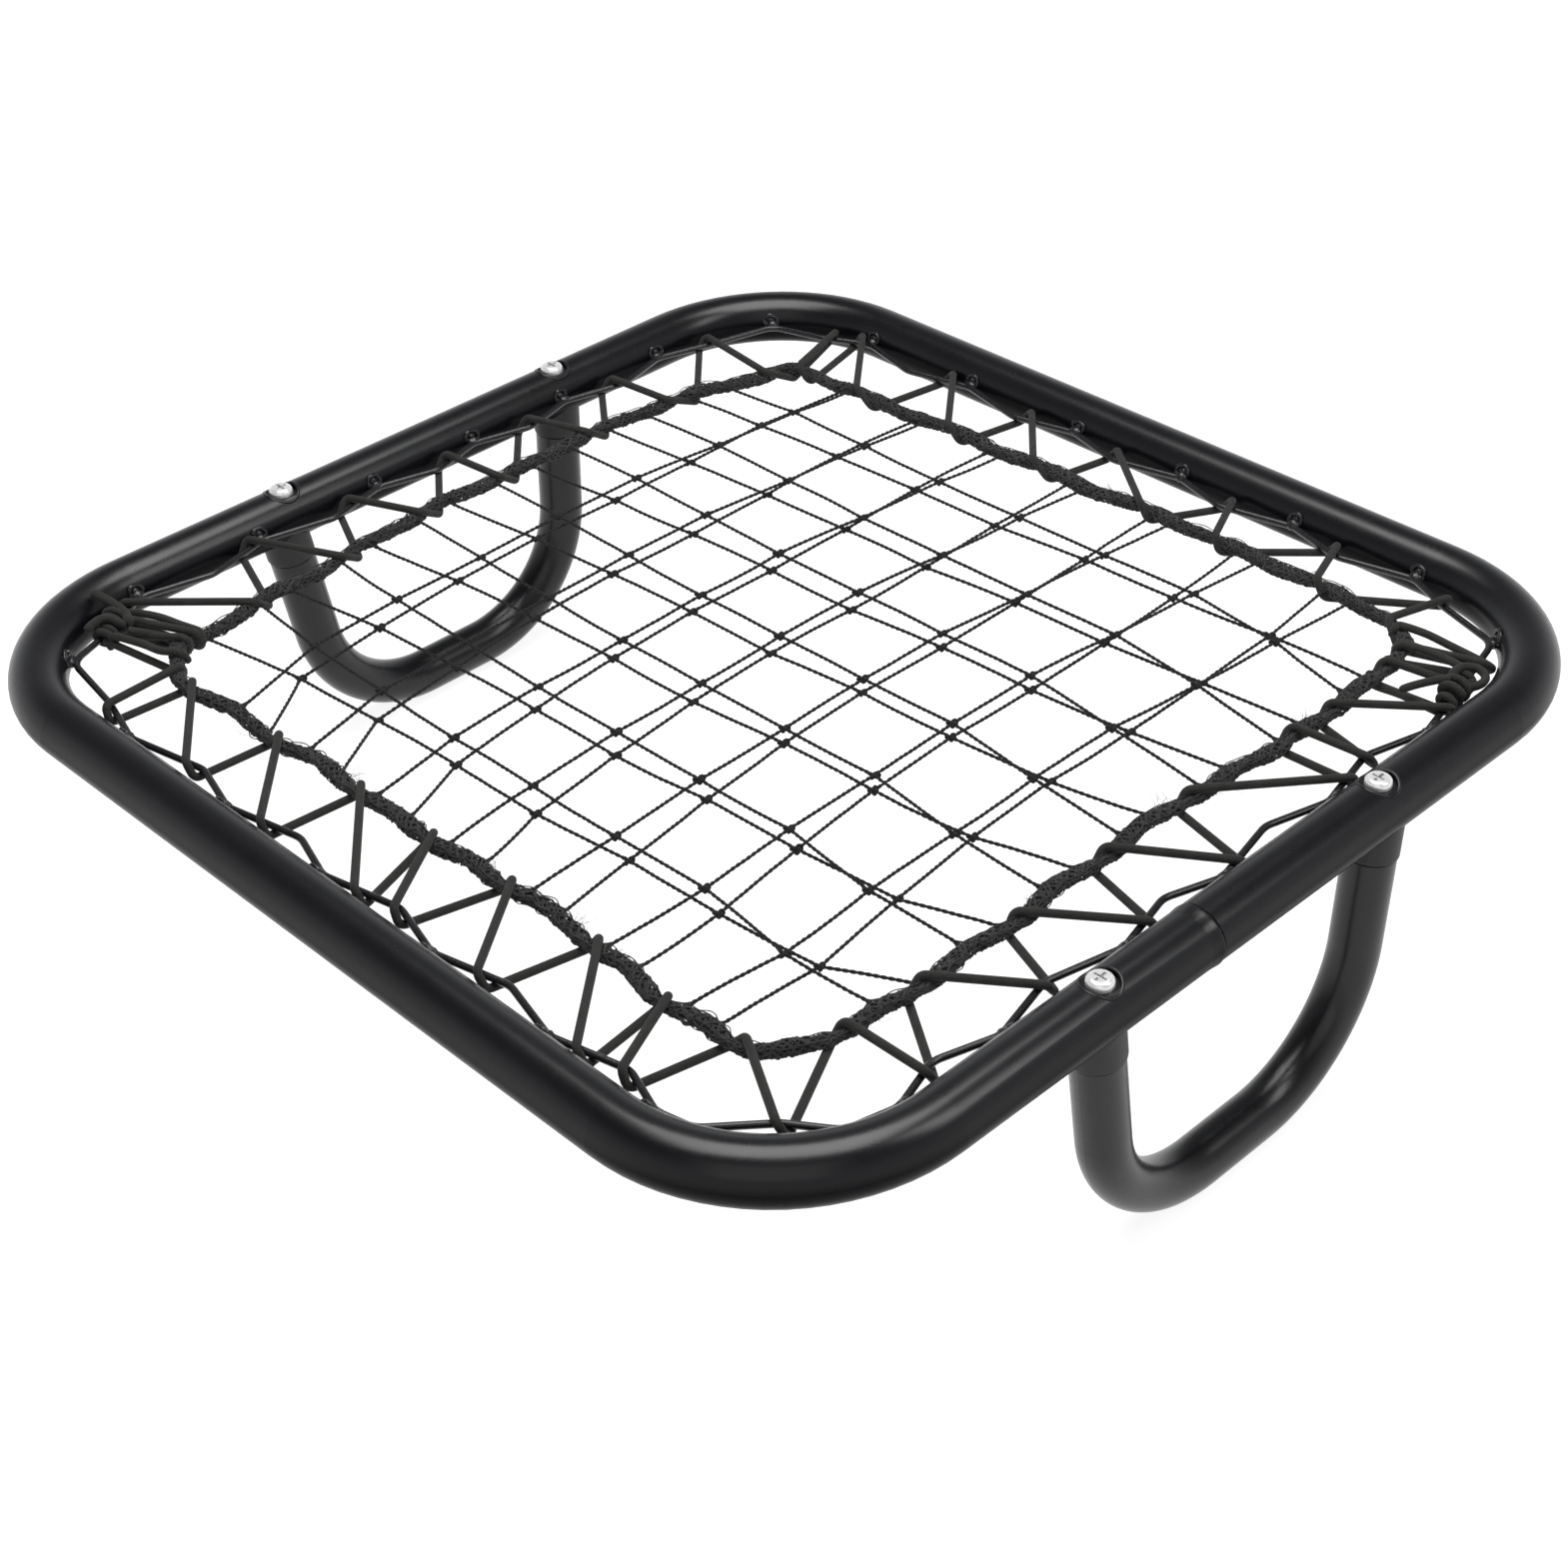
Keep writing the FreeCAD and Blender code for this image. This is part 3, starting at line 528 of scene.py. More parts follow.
def piece(name, soup, material_slot, skin=None):
    """A mesh object from gathered rings, given in millimetres about the frame's centreline."""
    verts = np.concatenate(soup.points) * MM
    verts[:, 2] += FRAME_HEIGHT * MM
    quads = np.concatenate(soup.quads)
    mesh = bpy.data.meshes.new(name)
    mesh.from_pydata(verts.tolist(), [], quads.tolist())
    layer = mesh.uv_layers.new(name="surface")
    layer.data.foreach_set("uv", np.concatenate(soup.places).astype(np.float32).ravel())
    mesh.polygons.foreach_set("use_smooth", np.ones(len(quads), bool))
    mesh.materials.append(skin or FINISHES[material_slot])
    obj = bpy.data.objects.new(name, mesh)
    scene.collection.objects.link(obj)
    return obj


def wander(seed, length, reach):
    """A smooth random value along a length, from -1 to 1, that changes over the given reach."""
    values = np.random.default_rng(seed).uniform(-1, 1, int(np.max(length) / reach) + 4)
    position = np.asarray(length) / reach
    index = position.astype(int)
    share = position - index
    share = share * share * (3 - 2 * share)
    return values[index] * (1 - share) + values[index + 1] * share


def knot_tube(soup, centre, size, thickness, turn, seed):
    """A small pulled-tight knot: a three-lobed loop wound on itself, round a short core."""
    t = whole_turn(40)
    lobes = 1 + 0.22 * np.random.default_rng(seed).uniform(-1, 1, 3)
    x = np.sin(t) + 2 * np.sin(2 * t) * 0.62 * lobes[0]
    y = np.cos(t) - 2 * np.cos(2 * t) * 0.62 * lobes[1]
    z = -np.sin(3 * t) * lobes[2]
    shape = np.stack((x, y * 0.8, z * 0.75), -1) * size / 1.9
    cosine, sine = math.cos(turn), math.sin(turn)
    spin = np.array(((cosine, -sine, 0), (sine, cosine, 0), (0, 0, 1)))
    soup.tube(shape @ spin.T + centre, thickness, sides=7, closed=True)
    half_core = spin[:, 0] * size * 0.45
    soup.tube(np.array([centre - half_core, centre + half_core]), size * 0.55, sides=8, level=True)


# ---- net ----

PLY_RADIUS, PLY_OFFSET, TWIST = 0.55, 0.36, 6.4
BOW, WAVER = 0.5, 0.10              # how far a line between two knots may bow, and how far it wavers
HEM_GRIP = 2.2                      # from the hem's middle in to where the net's lines end
NET_KNOT, KNOT_TWINE = 2.1, 0.85    # size of the knots at the crossings, and of their twine
END_KNOT, END_TWINE = 1.25, 0.70    # the same at the hem
FORK_RADIUS = 0.42
NET_SEEDS = {"net_upper": 100, "net_lower": 5000}


def net_knots(layer):
    """Knot positions as a grid, knots[row][column], row 0 at the back and column 0 at the left."""
    middle_x, middle_y = layer["middle"]
    half = (NET_ROWS - 1) / 2
    return [[(middle_x + layer["row_shift"][row] + (column - half) * MESH_X,
              middle_y + (half - row) * MESH_Y + layer["column_shift"][column], 0.0)
             for column in range(NET_ROWS)] for row in range(NET_ROWS)]


def rope_end(side, across):
    """Where a line at that x (front, back) or y (sides) meets the inner edge of the hem."""
    along = across if side in (FRONT, RIGHT) else -across
    return at_height(ring((side, along), inward_on(ROPE_ROUTE, (side, along)) + HEM_GRIP)[0], 0)


def net_lines(layer):
    """The net's lines from hem to hem, each as its end, its knots and its other end."""
    knots = np.array(net_knots(layer))
    lines = []
    for i in range(NET_ROWS):
        for line, axis, sides in ((knots[:, i], 0, (BACK, FRONT)), (knots[i], 1, (LEFT, RIGHT))):
            ends = []
            for side, knot in zip(sides, (line[0], line[-1])):
                shift, growth = layer["ends"][side]
                ends.append(rope_end(side, knot[axis] + shift + growth * i))
            lines.append(np.vstack((ends[0], line, ends[1])))
    return lines


def twine(soup, start, end, seed):
    """Two strands twisted together between two knots, very slightly bowed."""
    span = end - start
    length = np.linalg.norm(span)
    along = np.linspace(0, 1, int(length / TWIST * 11) + 2)
    ahead = span / length
    across = np.cross(ahead, UP)
    across /= np.linalg.norm(across)
    up = np.cross(across, ahead)
    source = np.random.default_rng(seed)
    bow = source.uniform(-BOW, BOW, 2)
    middle = start + span * along[:, None]
    middle += (np.sin(math.pi * along) * bow[0])[:, None] * across
    middle += (np.sin(math.pi * along) * bow[1])[:, None] * up
    middle += wander(seed + 7, along * length, 9)[:, None] * WAVER * across
    phase = source.uniform(0, 6.28)
    pitch = TWIST * source.uniform(0.92, 1.1)
    for ply in (0, math.pi):
        angle = phase + ply + 2 * math.pi * along * length / pitch
        path = middle + PLY_OFFSET * (np.cos(angle)[:, None] * across + np.sin(angle)[:, None] * up)
        soup.tube(path, PLY_RADIUS, sides=6, level=True)


def fork(soup, end, ahead, drop, seed):
    """Two threads that spread from the line on to the hem."""
    source = np.random.default_rng(seed)
    across = np.cross(ahead, UP)
    t = np.linspace(0, 1, 9)[:, None]
    for hand in (1, -1):
        # from 5 to 8.5 mm up the line, to 1 mm past its end and 2.4 to 4.2 mm to one side
        start = end + ahead * source.uniform(5.0, 8.5) + drop * 0.5
        bend = end + ahead * 2.0 + hand * across * 0.8 + drop * 0.5
        finish = end - ahead * 1.0 + hand * across * source.uniform(2.4, 4.2) + (0, 0, 1.5)
        soup.tube(start * (1 - t) ** 2 + 2 * bend * t * (1 - t) + finish * t ** 2, FORK_RADIUS, sides=5)


for name, layer in NETS.items():
    soup = Soup()
    drop = np.array((0, 0, layer["height"]))
    seed = NET_SEEDS[name]
    for line in net_lines(layer):
        for i in range(len(line) - 1):
            seed += 11
            start = line[i] + (drop if i > 0 else drop * 0.5)
            end = line[i + 1] + (drop if i < len(line) - 2 else drop * 0.5)
            twine(soup, start, end, seed)
        for end, before in ((line[0], line[1]), (line[-1], line[-2])):
            seed += 1
            aim = before - end
            knot_tube(soup, end + drop * 0.4, END_KNOT, END_TWINE, math.atan2(aim[1], aim[0]), seed)
            fork(soup, end, unit(aim), drop, seed)
    for row in net_knots(layer):
        for knot in row:
            seed += 3
            turn = math.radians(random.Random(seed).uniform(20, 70))
            knot_tube(soup, np.array(knot) + drop, NET_KNOT, KNOT_TWINE, turn, seed)
    net = piece(name + "_twine", soup, "net_twine")
    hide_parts(name)
    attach(net, "net")

# ---- hem ----

HEM_STEP = 0.8
HEM_RADIUS, HEM_LUMP = 3.75, 0.45
HEM_WIDE, HEM_TALL = 1.05, 0.92       # its knit is a little wider than it is tall
PINCH, PINCH_REACH = 1.25, 5.0      # how much each wrap narrows the hem, and over what length
STRANDS, STRAND_RADIUS, BRAID_PITCH = 7, 0.52, 22
THREAD_RADIUS, THREAD_SWING = 0.27, 2.0
# Threads along the hem's edges: inner (1) or outer (-1) edge, and height.
EDGE_THREADS = ((1, 1.6), (1, 0.4), (1, -1.0), (-1, 1.8), (-1, 0.6), (-1, -0.8), (1, 2.4), (-1, 2.6))
# Tufts of frayed ends, by their places along each side.
TUFTS = {
    FRONT: (-128, -62, 5, 38, 92, 118),
    RIGHT: (-160, -60, 28, 58, 120),
    BACK: (-150, -20, 100, 160),
    LEFT: (-120, -45, 20, 95, 150),
}
TUFT_HAIRS, TUFT_SPREAD, TUFT_LENGTH, TUFT_HAIR = 15, 3.0, (2.0, 6.5), 0.10
LOOSE_HAIRS, LOOSE_LENGTH, LOOSE_HAIR = 260, (1.2, 3.2), 0.08

hem_loop = np.vstack((ROPE_ROUTE, ROPE_ROUTE[:1]))
loop_length = distances(hem_loop)
HEM_TOTAL = loop_length[-1]
hem_steps = np.arange(0, HEM_TOTAL, HEM_STEP)
hem_line = np.stack([np.interp(hem_steps, loop_length, hem_loop[:, k]) for k in range(3)], -1)
for _ in range(6):
    hem_line = (np.roll(hem_line, 1, axis=0) + hem_line * 2 + np.roll(hem_line, -1, axis=0)) / 4
hem_ahead = tangents(hem_line, True)
hem_in = unit(np.cross(UP, hem_ahead))


def hem_place(place):
    """Distance along the hem at a place round the frame."""
    point = ring(place, inward_on(ROPE_ROUTE, place))[0]
    return hem_steps[np.argmin(np.linalg.norm(hem_line[:, :2] - point, axis=1))]


# The wraps lie this far along from the tables' places, on the top of the hem and under it.
TOP_SHIFT = {FRONT: 0.0, RIGHT: -2.0, BACK: -2.0, LEFT: 2.5}
BOTTOM_SHIFT = {FRONT: 2.0, RIGHT: -2.0, BACK: -2.0, LEFT: 4.0}


def shifted(place, shift):
    return (place[0], place[1] + shift[place[0]])


wraps = []
for _, first, stitches, last, _ in CORDS.values():
    bottom = first
    for rope_top, _, _, rope_bottom in stitches:
        wraps.append((hem_place(bottom) + hem_place(shifted(rope_top, TOP_SHIFT))) / 2)
        bottom = shifted(rope_bottom, BOTTOM_SHIFT)
    wraps.append((hem_place(bottom) + hem_place(last)) / 2)
pinch = np.zeros(len(hem_steps))
for wrap in wraps:
    away = (hem_steps - wrap + HEM_TOTAL / 2) % HEM_TOTAL - HEM_TOTAL / 2
    pinch = np.maximum(pinch, np.exp(-(away / PINCH_REACH) ** 2))
# Random changes fade out where the hem's start meets its end.
TAPER = np.clip(np.minimum(hem_steps, HEM_TOTAL - hem_steps) / 20, 0, 1)
lump = wander(5, hem_steps, 14) * HEM_LUMP * TAPER
hem_radius = HEM_RADIUS + lump - PINCH * pinch

# How loose the knit is: the front and left sides are more worn and open than the other two.
slack = np.where(np.abs(hem_line[:, 1]) / HALF_Y > np.abs(hem_line[:, 0]) / HALF_X,
                 np.where(hem_line[:, 1] < 0, 1.0, 0.5), np.where(hem_line[:, 0] < 0, 0.9, 0.5))
for _ in range(12):
    slack = (np.roll(slack, 2) + slack + np.roll(slack, -2)) / 3


def hem_path(inward, up):
    """A route beside the hem's centreline."""
    return hem_line + inward[:, None] * hem_in + up[:, None] * UP


soup = Soup()
core = hem_radius * (0.68 - 0.16 * slack) + wander(6, hem_steps, 3.0) * 0.25
soup.tube(hem_line, core, sides=14, closed=True, level=True)
turns = round(HEM_TOTAL / BRAID_PITCH)
phase = 2 * math.pi * turns * hem_steps / HEM_TOTAL + wander(8, hem_steps, 13) * 0.75 * TAPER
for hand in (1, -1):
    for k in range(STRANDS):
        own = wander(20 + k + 10 * hand, hem_steps, 8) * 0.5 * TAPER
        angle = hand * phase + 2 * math.pi * k / STRANDS + own
        weave = hand * np.cos(STRANDS * phase)
        loose = wander(40 + k * 3 + hand, hem_steps, 5) * TAPER * slack
        reach = (hem_radius - 0.50) * (1 - 0.05 * slack) + 0.30 * weave + 0.55 * loose * (1 - pinch)
        size = STRAND_RADIUS * (1 + 0.35 * wander(60 + k * 5 + hand, hem_steps, 4) * TAPER)
        strand = hem_path(reach * HEM_WIDE * np.cos(angle), reach * HEM_TALL * np.sin(angle))
        soup.tube(strand, size, sides=6, closed=True, level=True)

# Loose threads that bow out along both edges and leave small eyelets.
for i, (edge, height) in enumerate(EDGE_THREADS):
    loops = round(HEM_TOTAL / (6.6 + 0.9 * i))
    phase = math.pi * loops * hem_steps / HEM_TOTAL + i + 0.9 * wander(70 + i, hem_steps, 17) * TAPER
    alive = np.clip(0.35 + 0.95 * wander(80 + i, hem_steps, 19), 0.0, 1.0)
    alive = alive * (1 - pinch) * (0.35 + 0.65 * slack)
    bow = THREAD_SWING * np.abs(np.sin(phase)) ** 1.4 * alive
    reach = (hem_radius - 0.7) * math.sqrt(max(0.1, 1 - (height / 4.2) ** 2)) + bow
    rise = height + 0.8 * wander(90 + i, hem_steps, 7) * TAPER
    soup.tube(hem_path(edge * reach, rise), THREAD_RADIUS, sides=5, closed=True, level=True)


def hair(soup, start, aim, length, seed, thickness):
    """One stray fibre that curls as it goes."""
    source = np.random.default_rng(seed)
    t = np.linspace(0, 1, 12)
    bend = source.normal(0, 0.5, 3)
    path = start + np.outer(t * length, aim) + np.outer(t ** 2 * length, bend)
    curl = [np.sin(t * source.uniform(4, 9) + source.uniform(0, 6)) * t for _ in range(3)]
    path += 0.12 * length * np.stack(curl, -1)
    soup.tube(path, thickness * (1 - 0.5 * t), sides=4)


def hair_at(soup, index, edge, length, seed, thickness):
    """A fibre that leaves the hem's skin at a step of its line, from its inner or outer half."""
    source = np.random.default_rng(seed)
    angle = source.uniform(-0.2, 1.3)
    out = edge * math.cos(angle) * hem_in[index] + math.sin(angle) * UP
    start = hem_line[index] + out * (hem_radius[index] - 0.6)
    aim = unit(out + source.normal(0, 0.45, 3))
    hair(soup, start, aim, length, seed + 1, thickness)


seed = 900
for side, places in TUFTS.items():
    for along in places:
        middle = hem_place((side, along))
        edge = 1 if random.Random(seed).random() < 0.65 else -1
        for _ in range(TUFT_HAIRS):
            seed += 1
            source = random.Random(seed)
            index = int((middle + source.gauss(0, TUFT_SPREAD)) / HEM_STEP) % len(hem_steps)
            hair_at(soup, index, edge, source.uniform(*TUFT_LENGTH), seed, TUFT_HAIR)
for _ in range(LOOSE_HAIRS):
    seed += 1
    source = random.Random(seed)
    index = source.randrange(len(hem_steps))
    edge = source.choice((1, -1))
    hair_at(soup, index, edge, source.uniform(*LOOSE_LENGTH), seed, LOOSE_HAIR)
hem_piece = piece("hem_braid", soup, "hem_rope")
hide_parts("border_rope")
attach(hem_piece, "net")

# ---- lacing ----

WRAP_IN, WRAP_UP = 3.1, 4.5          # the cord's corners, from the hem's middle
ROPE_TURN, WIRE_TURN = 4.0, WIRE_WRAP * 0.86     # radius of its turns


def rope_turn(place, level):
    """Corner of the cord where it turns round the rope's inner edge: level 1 is above, -1 below."""
    return at_height(ring(place, inward_on(ROPE_ROUTE, place) + WRAP_IN)[0], level * WRAP_UP)


def wire_turn(place, level):
    """Corner of the cord where it turns round the wire's outer edge."""
    outer = ring(place, inward_on(WIRE_ROUTE, place) - WIRE_WRAP)[0]
    return at_height(outer, WIRE_HEIGHT + level * WIRE_WRAP)


def knot_place(name, shift):
    """Where a cord ends inside the bunch at one of the knotted corners."""
    side, along = KNOT_PLACES[name]
    place = (side, along + shift)
    return at_height(ring(place, inward_on(WIRE_ROUTE, place) + KNOT_INWARD)[0], WIRE_HEIGHT)


def lacing(name, start, first_turn, stitches, last_turn, end):
    """The pieces of one lacing cord: each runs from the rope to the wire and back to the rope."""
    points = [knot_place(*start), rope_turn(first_turn, -1)]
    radii = [0, ROPE_TURN]
    cuts = []
    for rope_top, wire_top, wire_bottom, rope_bottom in stitches:
        cuts.append(len(points))
        points += [rope_turn(shifted(rope_top, TOP_SHIFT), 1), wire_turn(wire_top, 1)]
        points += [wire_turn(wire_bottom, -1), rope_turn(shifted(rope_bottom, BOTTOM_SHIFT), -1)]
        radii += [ROPE_TURN, WIRE_TURN, WIRE_TURN, ROPE_TURN]
    cuts.append(len(points))
    points += [rope_turn(last_turn, 1), knot_place(*end)]
    radii += [ROPE_TURN, 0]
    path = rounded(points, radii, step=2.0, turn_step=0.2)
    lengths = distances(path)
    first, second = sides_of(path, False, False)
    marks = [0]
    for cut in cuts:
        halfway = (points[cut - 1] + points[cut]) / 2
        marks.append(int(np.argmin(np.linalg.norm(path - halfway, axis=1))))
    marks.append(len(path) - 1)
    places = [KNOT_PLACES[start[0]]] + [stitch[1] for stitch in stitches] + [KNOT_PLACES[end[0]]]
    for i, place in enumerate(places):
        a, b = marks[i], marks[i + 1] + 1
        soup = Soup()
        frames = (first[a:b], second[a:b])
        soup.tube(path[a:b], CORD_RADIUS, sides=16, frames=frames, start=lengths[a], caps=False)
        run = piece("%s_run_%02d" % (name, i + 1), soup, "elastic_cord")
        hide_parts(name)
        laid_on(run)


def laid_on(obj):
    """Bake a run's placement into its mesh."""
    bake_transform(obj)


for name, cord in CORDS.items():
    lacing(name, *cord)

# ---- welds ----

WELD_ANGLE = math.radians(17)       # up from the tube's innermost line
PLAIN_WELDS = ((FRONT, 224), (RIGHT, -222))     # smaller, and without a puddle on the tube
JOINT_SIZE, PLAIN_SIZE = 3.0, 2.4


def lump_of_weld(soup, centre, ahead, sideways, up, size, source):
    """A rounded lump, a little longer along the tube."""
    t = np.linspace(0, math.pi, 13)
    radius = np.maximum(np.sin(t), 0.03) * size * (1 + 0.10 * source.uniform(-1, 1, 13))
    path = centre + np.outer(-np.cos(t) * size * 1.25, ahead)
    angles = whole_turn(18)
    shape = np.cos(angles)[None, :, None] * sideways + np.sin(angles)[None, :, None] * up
    ripple = 1 + 0.07 * np.sin(angles * 3 + source.uniform(0, 6))[None, :, None]
    soup.grid(path[:, None] + radius[:, None, None] * shape * ripple)


def weld_ring(soup, centre, ahead, across, size, source):
    """The raised edge of the puddle."""
    t = whole_turn(32)
    wave = 1 + 0.08 * np.sin(2 * t + source.uniform(0, 6)) + 0.05 * np.sin(5 * t + source.uniform(0, 6))
    path = centre + np.outer(np.cos(t) * size * 1.12 * wave, ahead)
    path += np.outer(np.sin(t) * size * 0.86 * wave, across)
    soup.tube(path, 1.05 + 0.18 * np.sin(3 * t + source.uniform(0, 6)), sides=9, closed=True)


soup = Soup()
seed = 4000
for side, places in WELDS.items():
    for along in places:
        seed += 17
        source = np.random.default_rng(seed)
        is_plain = (side, along) in PLAIN_WELDS
        inner_point, inward = ring((side, along), WELD_INWARD)
        inward3 = at_height(inward, 0)
        ahead3 = np.array((-inward[1], inward[0], 0))
        foot = at_height(inner_point, WIRE_HEIGHT + 0.6) - inward3 * 0.9 + source.normal(0, 0.25, 3)
        lump_of_weld(soup, foot, ahead3, inward3, UP * 0.9, PLAIN_SIZE if is_plain else JOINT_SIZE, source)
        if is_plain:
            continue
        out = math.cos(WELD_ANGLE) * inward3 + math.sin(WELD_ANGLE) * UP
        across = np.cross(ahead3, out)
        axis_point = at_height(ring((side, along + source.uniform(-1.2, 1.2)), 0)[0], 0)
        centre = axis_point + out * (TUBE_RADIUS + 0.25)
        weld_ring(soup, centre, ahead3, across, source.uniform(3.0, 3.6), source)
        lump_of_weld(soup, centre - out * 0.3, ahead3, across, out * 0.8, source.uniform(1.5, 2.0), source)
welds = piece("weld_blobs", soup, "gloss_black_wire")
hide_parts("weld_beads")
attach(welds, "frame")

# ---- screws: the raised lip of each dimple, and a darker steel cross in the recess as painted shade on its floor ----

DIMPLE_RADIUS, DIMPLE_LIP, DIMPLE_SUNK = 9.0, 0.95, 0.55
RECESS_LENGTH, RECESS_WIDTH, RECESS_DOWN = 6.2, 1.45, 0.7


def about_frame(points):
    """Points in metres, as millimetres about the frame's centreline."""
    return np.array(points) / MM - (0, 0, FRAME_HEIGHT)


def recess_shade_bar(soup, centre, ahead, across):
    """A flat bar of darker steel across the screw head: painted shade on the recess's floor."""
    rings = []
    for end in (-RECESS_LENGTH / 2, RECESS_LENGTH / 2):
        rings.append([centre + ahead * end + across * side * RECESS_WIDTH / 2 + (0, 0, up)
                      for side, up in ((-1, -0.1), (1, -0.1), (1, 0.1), (-1, 0.1))])
    soup.grid(rings, np.array((0.0, RECESS_LENGTH)))


turn_angles = whole_turn(72)
for name in sorted(nodes):
    if not name.startswith("screw_"):
        continue
    low, high = about_frame(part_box(name))
    x, y, top = (low[0] + high[0]) / 2, (low[1] + high[1]) / 2, high[2]
    offset = DIMPLE_RADIUS * np.cos(turn_angles)
    height = np.sqrt(TUBE_RADIUS ** 2 - offset ** 2) - DIMPLE_SUNK
    route = np.stack((x + offset, y + DIMPLE_RADIUS * np.sin(turn_angles), height), -1)
    soup = Soup()
    soup.tube(route, DIMPLE_LIP, sides=10, closed=True)
    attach(piece(name + "_lip", soup, "black_paint"), "frame")
    soup = Soup()
    # Two darker steel bars sit in the cross recess: painted shade on its floor.
    centre = np.array((x, y, top - RECESS_DOWN))
    recess_shade_bar(soup, centre, ALONG_X, ALONG_Y)
    recess_shade_bar(soup, centre - (0, 0, 0.02), ALONG_Y, ALONG_X)
    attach(piece(name + "_recess", soup, "plain_steel"), "frame")

# ---- saddles: a lip round each leg's top, and under it a joint ring of paint with no reflection, painted shade in the gap ----

# Profiles turned about a leg: (distance up from its top, height over its skin).
LIP_PROUD = 0.75
SADDLE_LIP = ((0.0, 0.0), (0.0, 0.45), (0.2, 0.65), (0.6, LIP_PROUD), (1.2, LIP_PROUD), (8.0, LIP_PROUD),
              (19.0, LIP_PROUD))
SADDLE_JOINT = ((-0.9, -0.1), (-0.9, 0.08), (0.0, 0.08), (0.0, -0.1))
LEG_RADIUS = 12.2
TOP_OF_LEG = -29.0                  # a handle's points above this height are its legs' end rings
LEG_REACH = 30.0                    # and those this near to a saddle's middle along Y are one leg's


def turned(profile, centre, axis):
    """A ring with the given profile, turned about a leg."""
    soup = Soup()
    angles = whole_turn(96)[:, None]
    around = np.cos(angles) * ALONG_X + np.sin(angles) * np.cross(axis, ALONG_X)
    rings = [centre + axis * up + around * (LEG_RADIUS + over) for up, over in profile]
    soup.grid(rings)
    return soup


for name in sorted(nodes):
    if not name.startswith("saddle_"):
        continue
    low, high = about_frame(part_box(name))
    handle = nodes["handle_" + name.split("_")[1]]
    spots = about_frame([vertex.co for vertex in handle.data.vertices])
    near = np.abs(spots[:, 1] - (low[1] + high[1]) / 2) < LEG_REACH
    spots = spots[(spots[:, 2] > TOP_OF_LEG) & near]
    centre = (spots.min(0) + spots.max(0)) / 2
    slope = np.polyfit(spots[:, 1] - centre[1], spots[:, 2] - centre[2], 1)[0]
    axis = np.array((0.0, -slope, 1.0)) / math.hypot(slope, 1.0)
    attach(piece(name + "_lip", turned(SADDLE_LIP, centre, axis), "black_plastic"), "frame")
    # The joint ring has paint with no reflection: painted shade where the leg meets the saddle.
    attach(piece(name + "_joint", turned(SADDLE_JOINT, centre, axis), "black_plastic", GAP_SHADE_PAINT), "frame")

# ---- seam between the tube's two ends ----

SEAM_Y, SEAM_WAVER, SEAM_SEED = -30.0, 0.30, 51
FLARE = 0.45                        # the lower end stands this proud where it was cut and joined
# Profiles turned about the tube: (distance along Y from the seam, height over the tube's skin).
COLLAR = ((-7.0, 0.01), (-4.5, 0.10), (-2.2, 0.30), (-1.0, FLARE), (-0.5, FLARE), (-0.2, FLARE - 0.15),
          (-0.1, -0.2))
GAP = ((-0.2, 0.0), (-0.2, 0.06), (0.9, 0.06), (0.9, 0.0))


def seam_ring(profile):
    """A ring with the given profile about the tube, wavering a little as a sawn edge does."""
    soup = Soup()
    angles = whole_turn(144)
    hold = np.clip(np.minimum(angles, 2 * math.pi - angles) * 3, 0, 1)
    waver = SEAM_WAVER * wander(SEAM_SEED, angles * TUBE_RADIUS, 7) * hold
    rough = 0.3 * SEAM_WAVER * wander(SEAM_SEED + 1, angles * TUBE_RADIUS, 3) * hold
    rings = []
    for shift, height in profile:
        reach = TUBE_RADIUS + height + rough * (height > 0)
        ring_y = SEAM_Y + shift + waver
        rings.append(np.stack((HALF_X + reach * np.cos(angles), ring_y, reach * np.sin(angles)), -1))
    soup.grid(rings)
    return soup


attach(piece("tube_seam_collar", seam_ring(COLLAR), "black_paint"), "frame")
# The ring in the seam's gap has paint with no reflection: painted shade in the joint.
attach(piece("tube_seam_gap", seam_ring(GAP), "black_plastic", GAP_SHADE_PAINT), "frame")

# ---- corner bunches ----


def smooth_route(points):
    """A smooth curve through a few points, in steps of about 0.8 mm."""
    p = np.array(points, float)
    p = np.vstack((2 * p[0] - p[1], p, 2 * p[-1] - p[-2]))
    rows = []
    for a, b, c, d in zip(p, p[1:], p[2:], p[3:]):
        count = max(3, int(np.linalg.norm(c - b) / 0.8))
        for t in np.linspace(0, 1, count, endpoint=False):
            bend = (2 * a - 5 * b + 4 * c - d) * t * t + (3 * b - a - 3 * c + d) * t ** 3
            rows.append(0.5 * (2 * b + (c - a) * t + bend))
    rows.append(p[-2])
    return np.array(rows)


def wound(soup, middle, axis, spread, radius, coils, seed):
    """Cord wound round the wire: a short irregular coil."""
    source = np.random.default_rng(seed)
    axis = unit(np.array(axis, float))
    across = unit(np.cross(axis, UP))
    up = np.cross(across, axis)
    t = np.linspace(0, 1, coils * 26)
    angle = 2 * math.pi * coils * t + source.uniform(0, 6)
    size = radius * (1 + 0.12 * np.sin(t * 11 + source.uniform(0, 6)))
    path = middle + np.outer((t - 0.5) * spread, axis)
    path += size[:, None] * (np.cos(angle)[:, None] * across + 0.85 * np.sin(angle)[:, None] * up)
    soup.tube(path, WOUND_RADIUS, sides=12)


def hooked(x, y, level):
    """The cord's way round the hem nearest to a point: from inside it to its top, or its underside."""
    index = np.argmin(np.linalg.norm(hem_line[:, :2] - (x, y), axis=1))
    middle = hem_line[index]
    inner = hem_in[index] * np.sign(-hem_in[index] @ middle)
    reach = hem_radius[index]
    return [middle + inner * (reach + 1.2), middle + inner * (reach - 0.4) + (0, 0, 3.2 * level),
            middle + (0, 0, (reach + 1.5) * level)]


# All in millimetres from the middle of the frame.
WOUND_RADIUS = 1.9
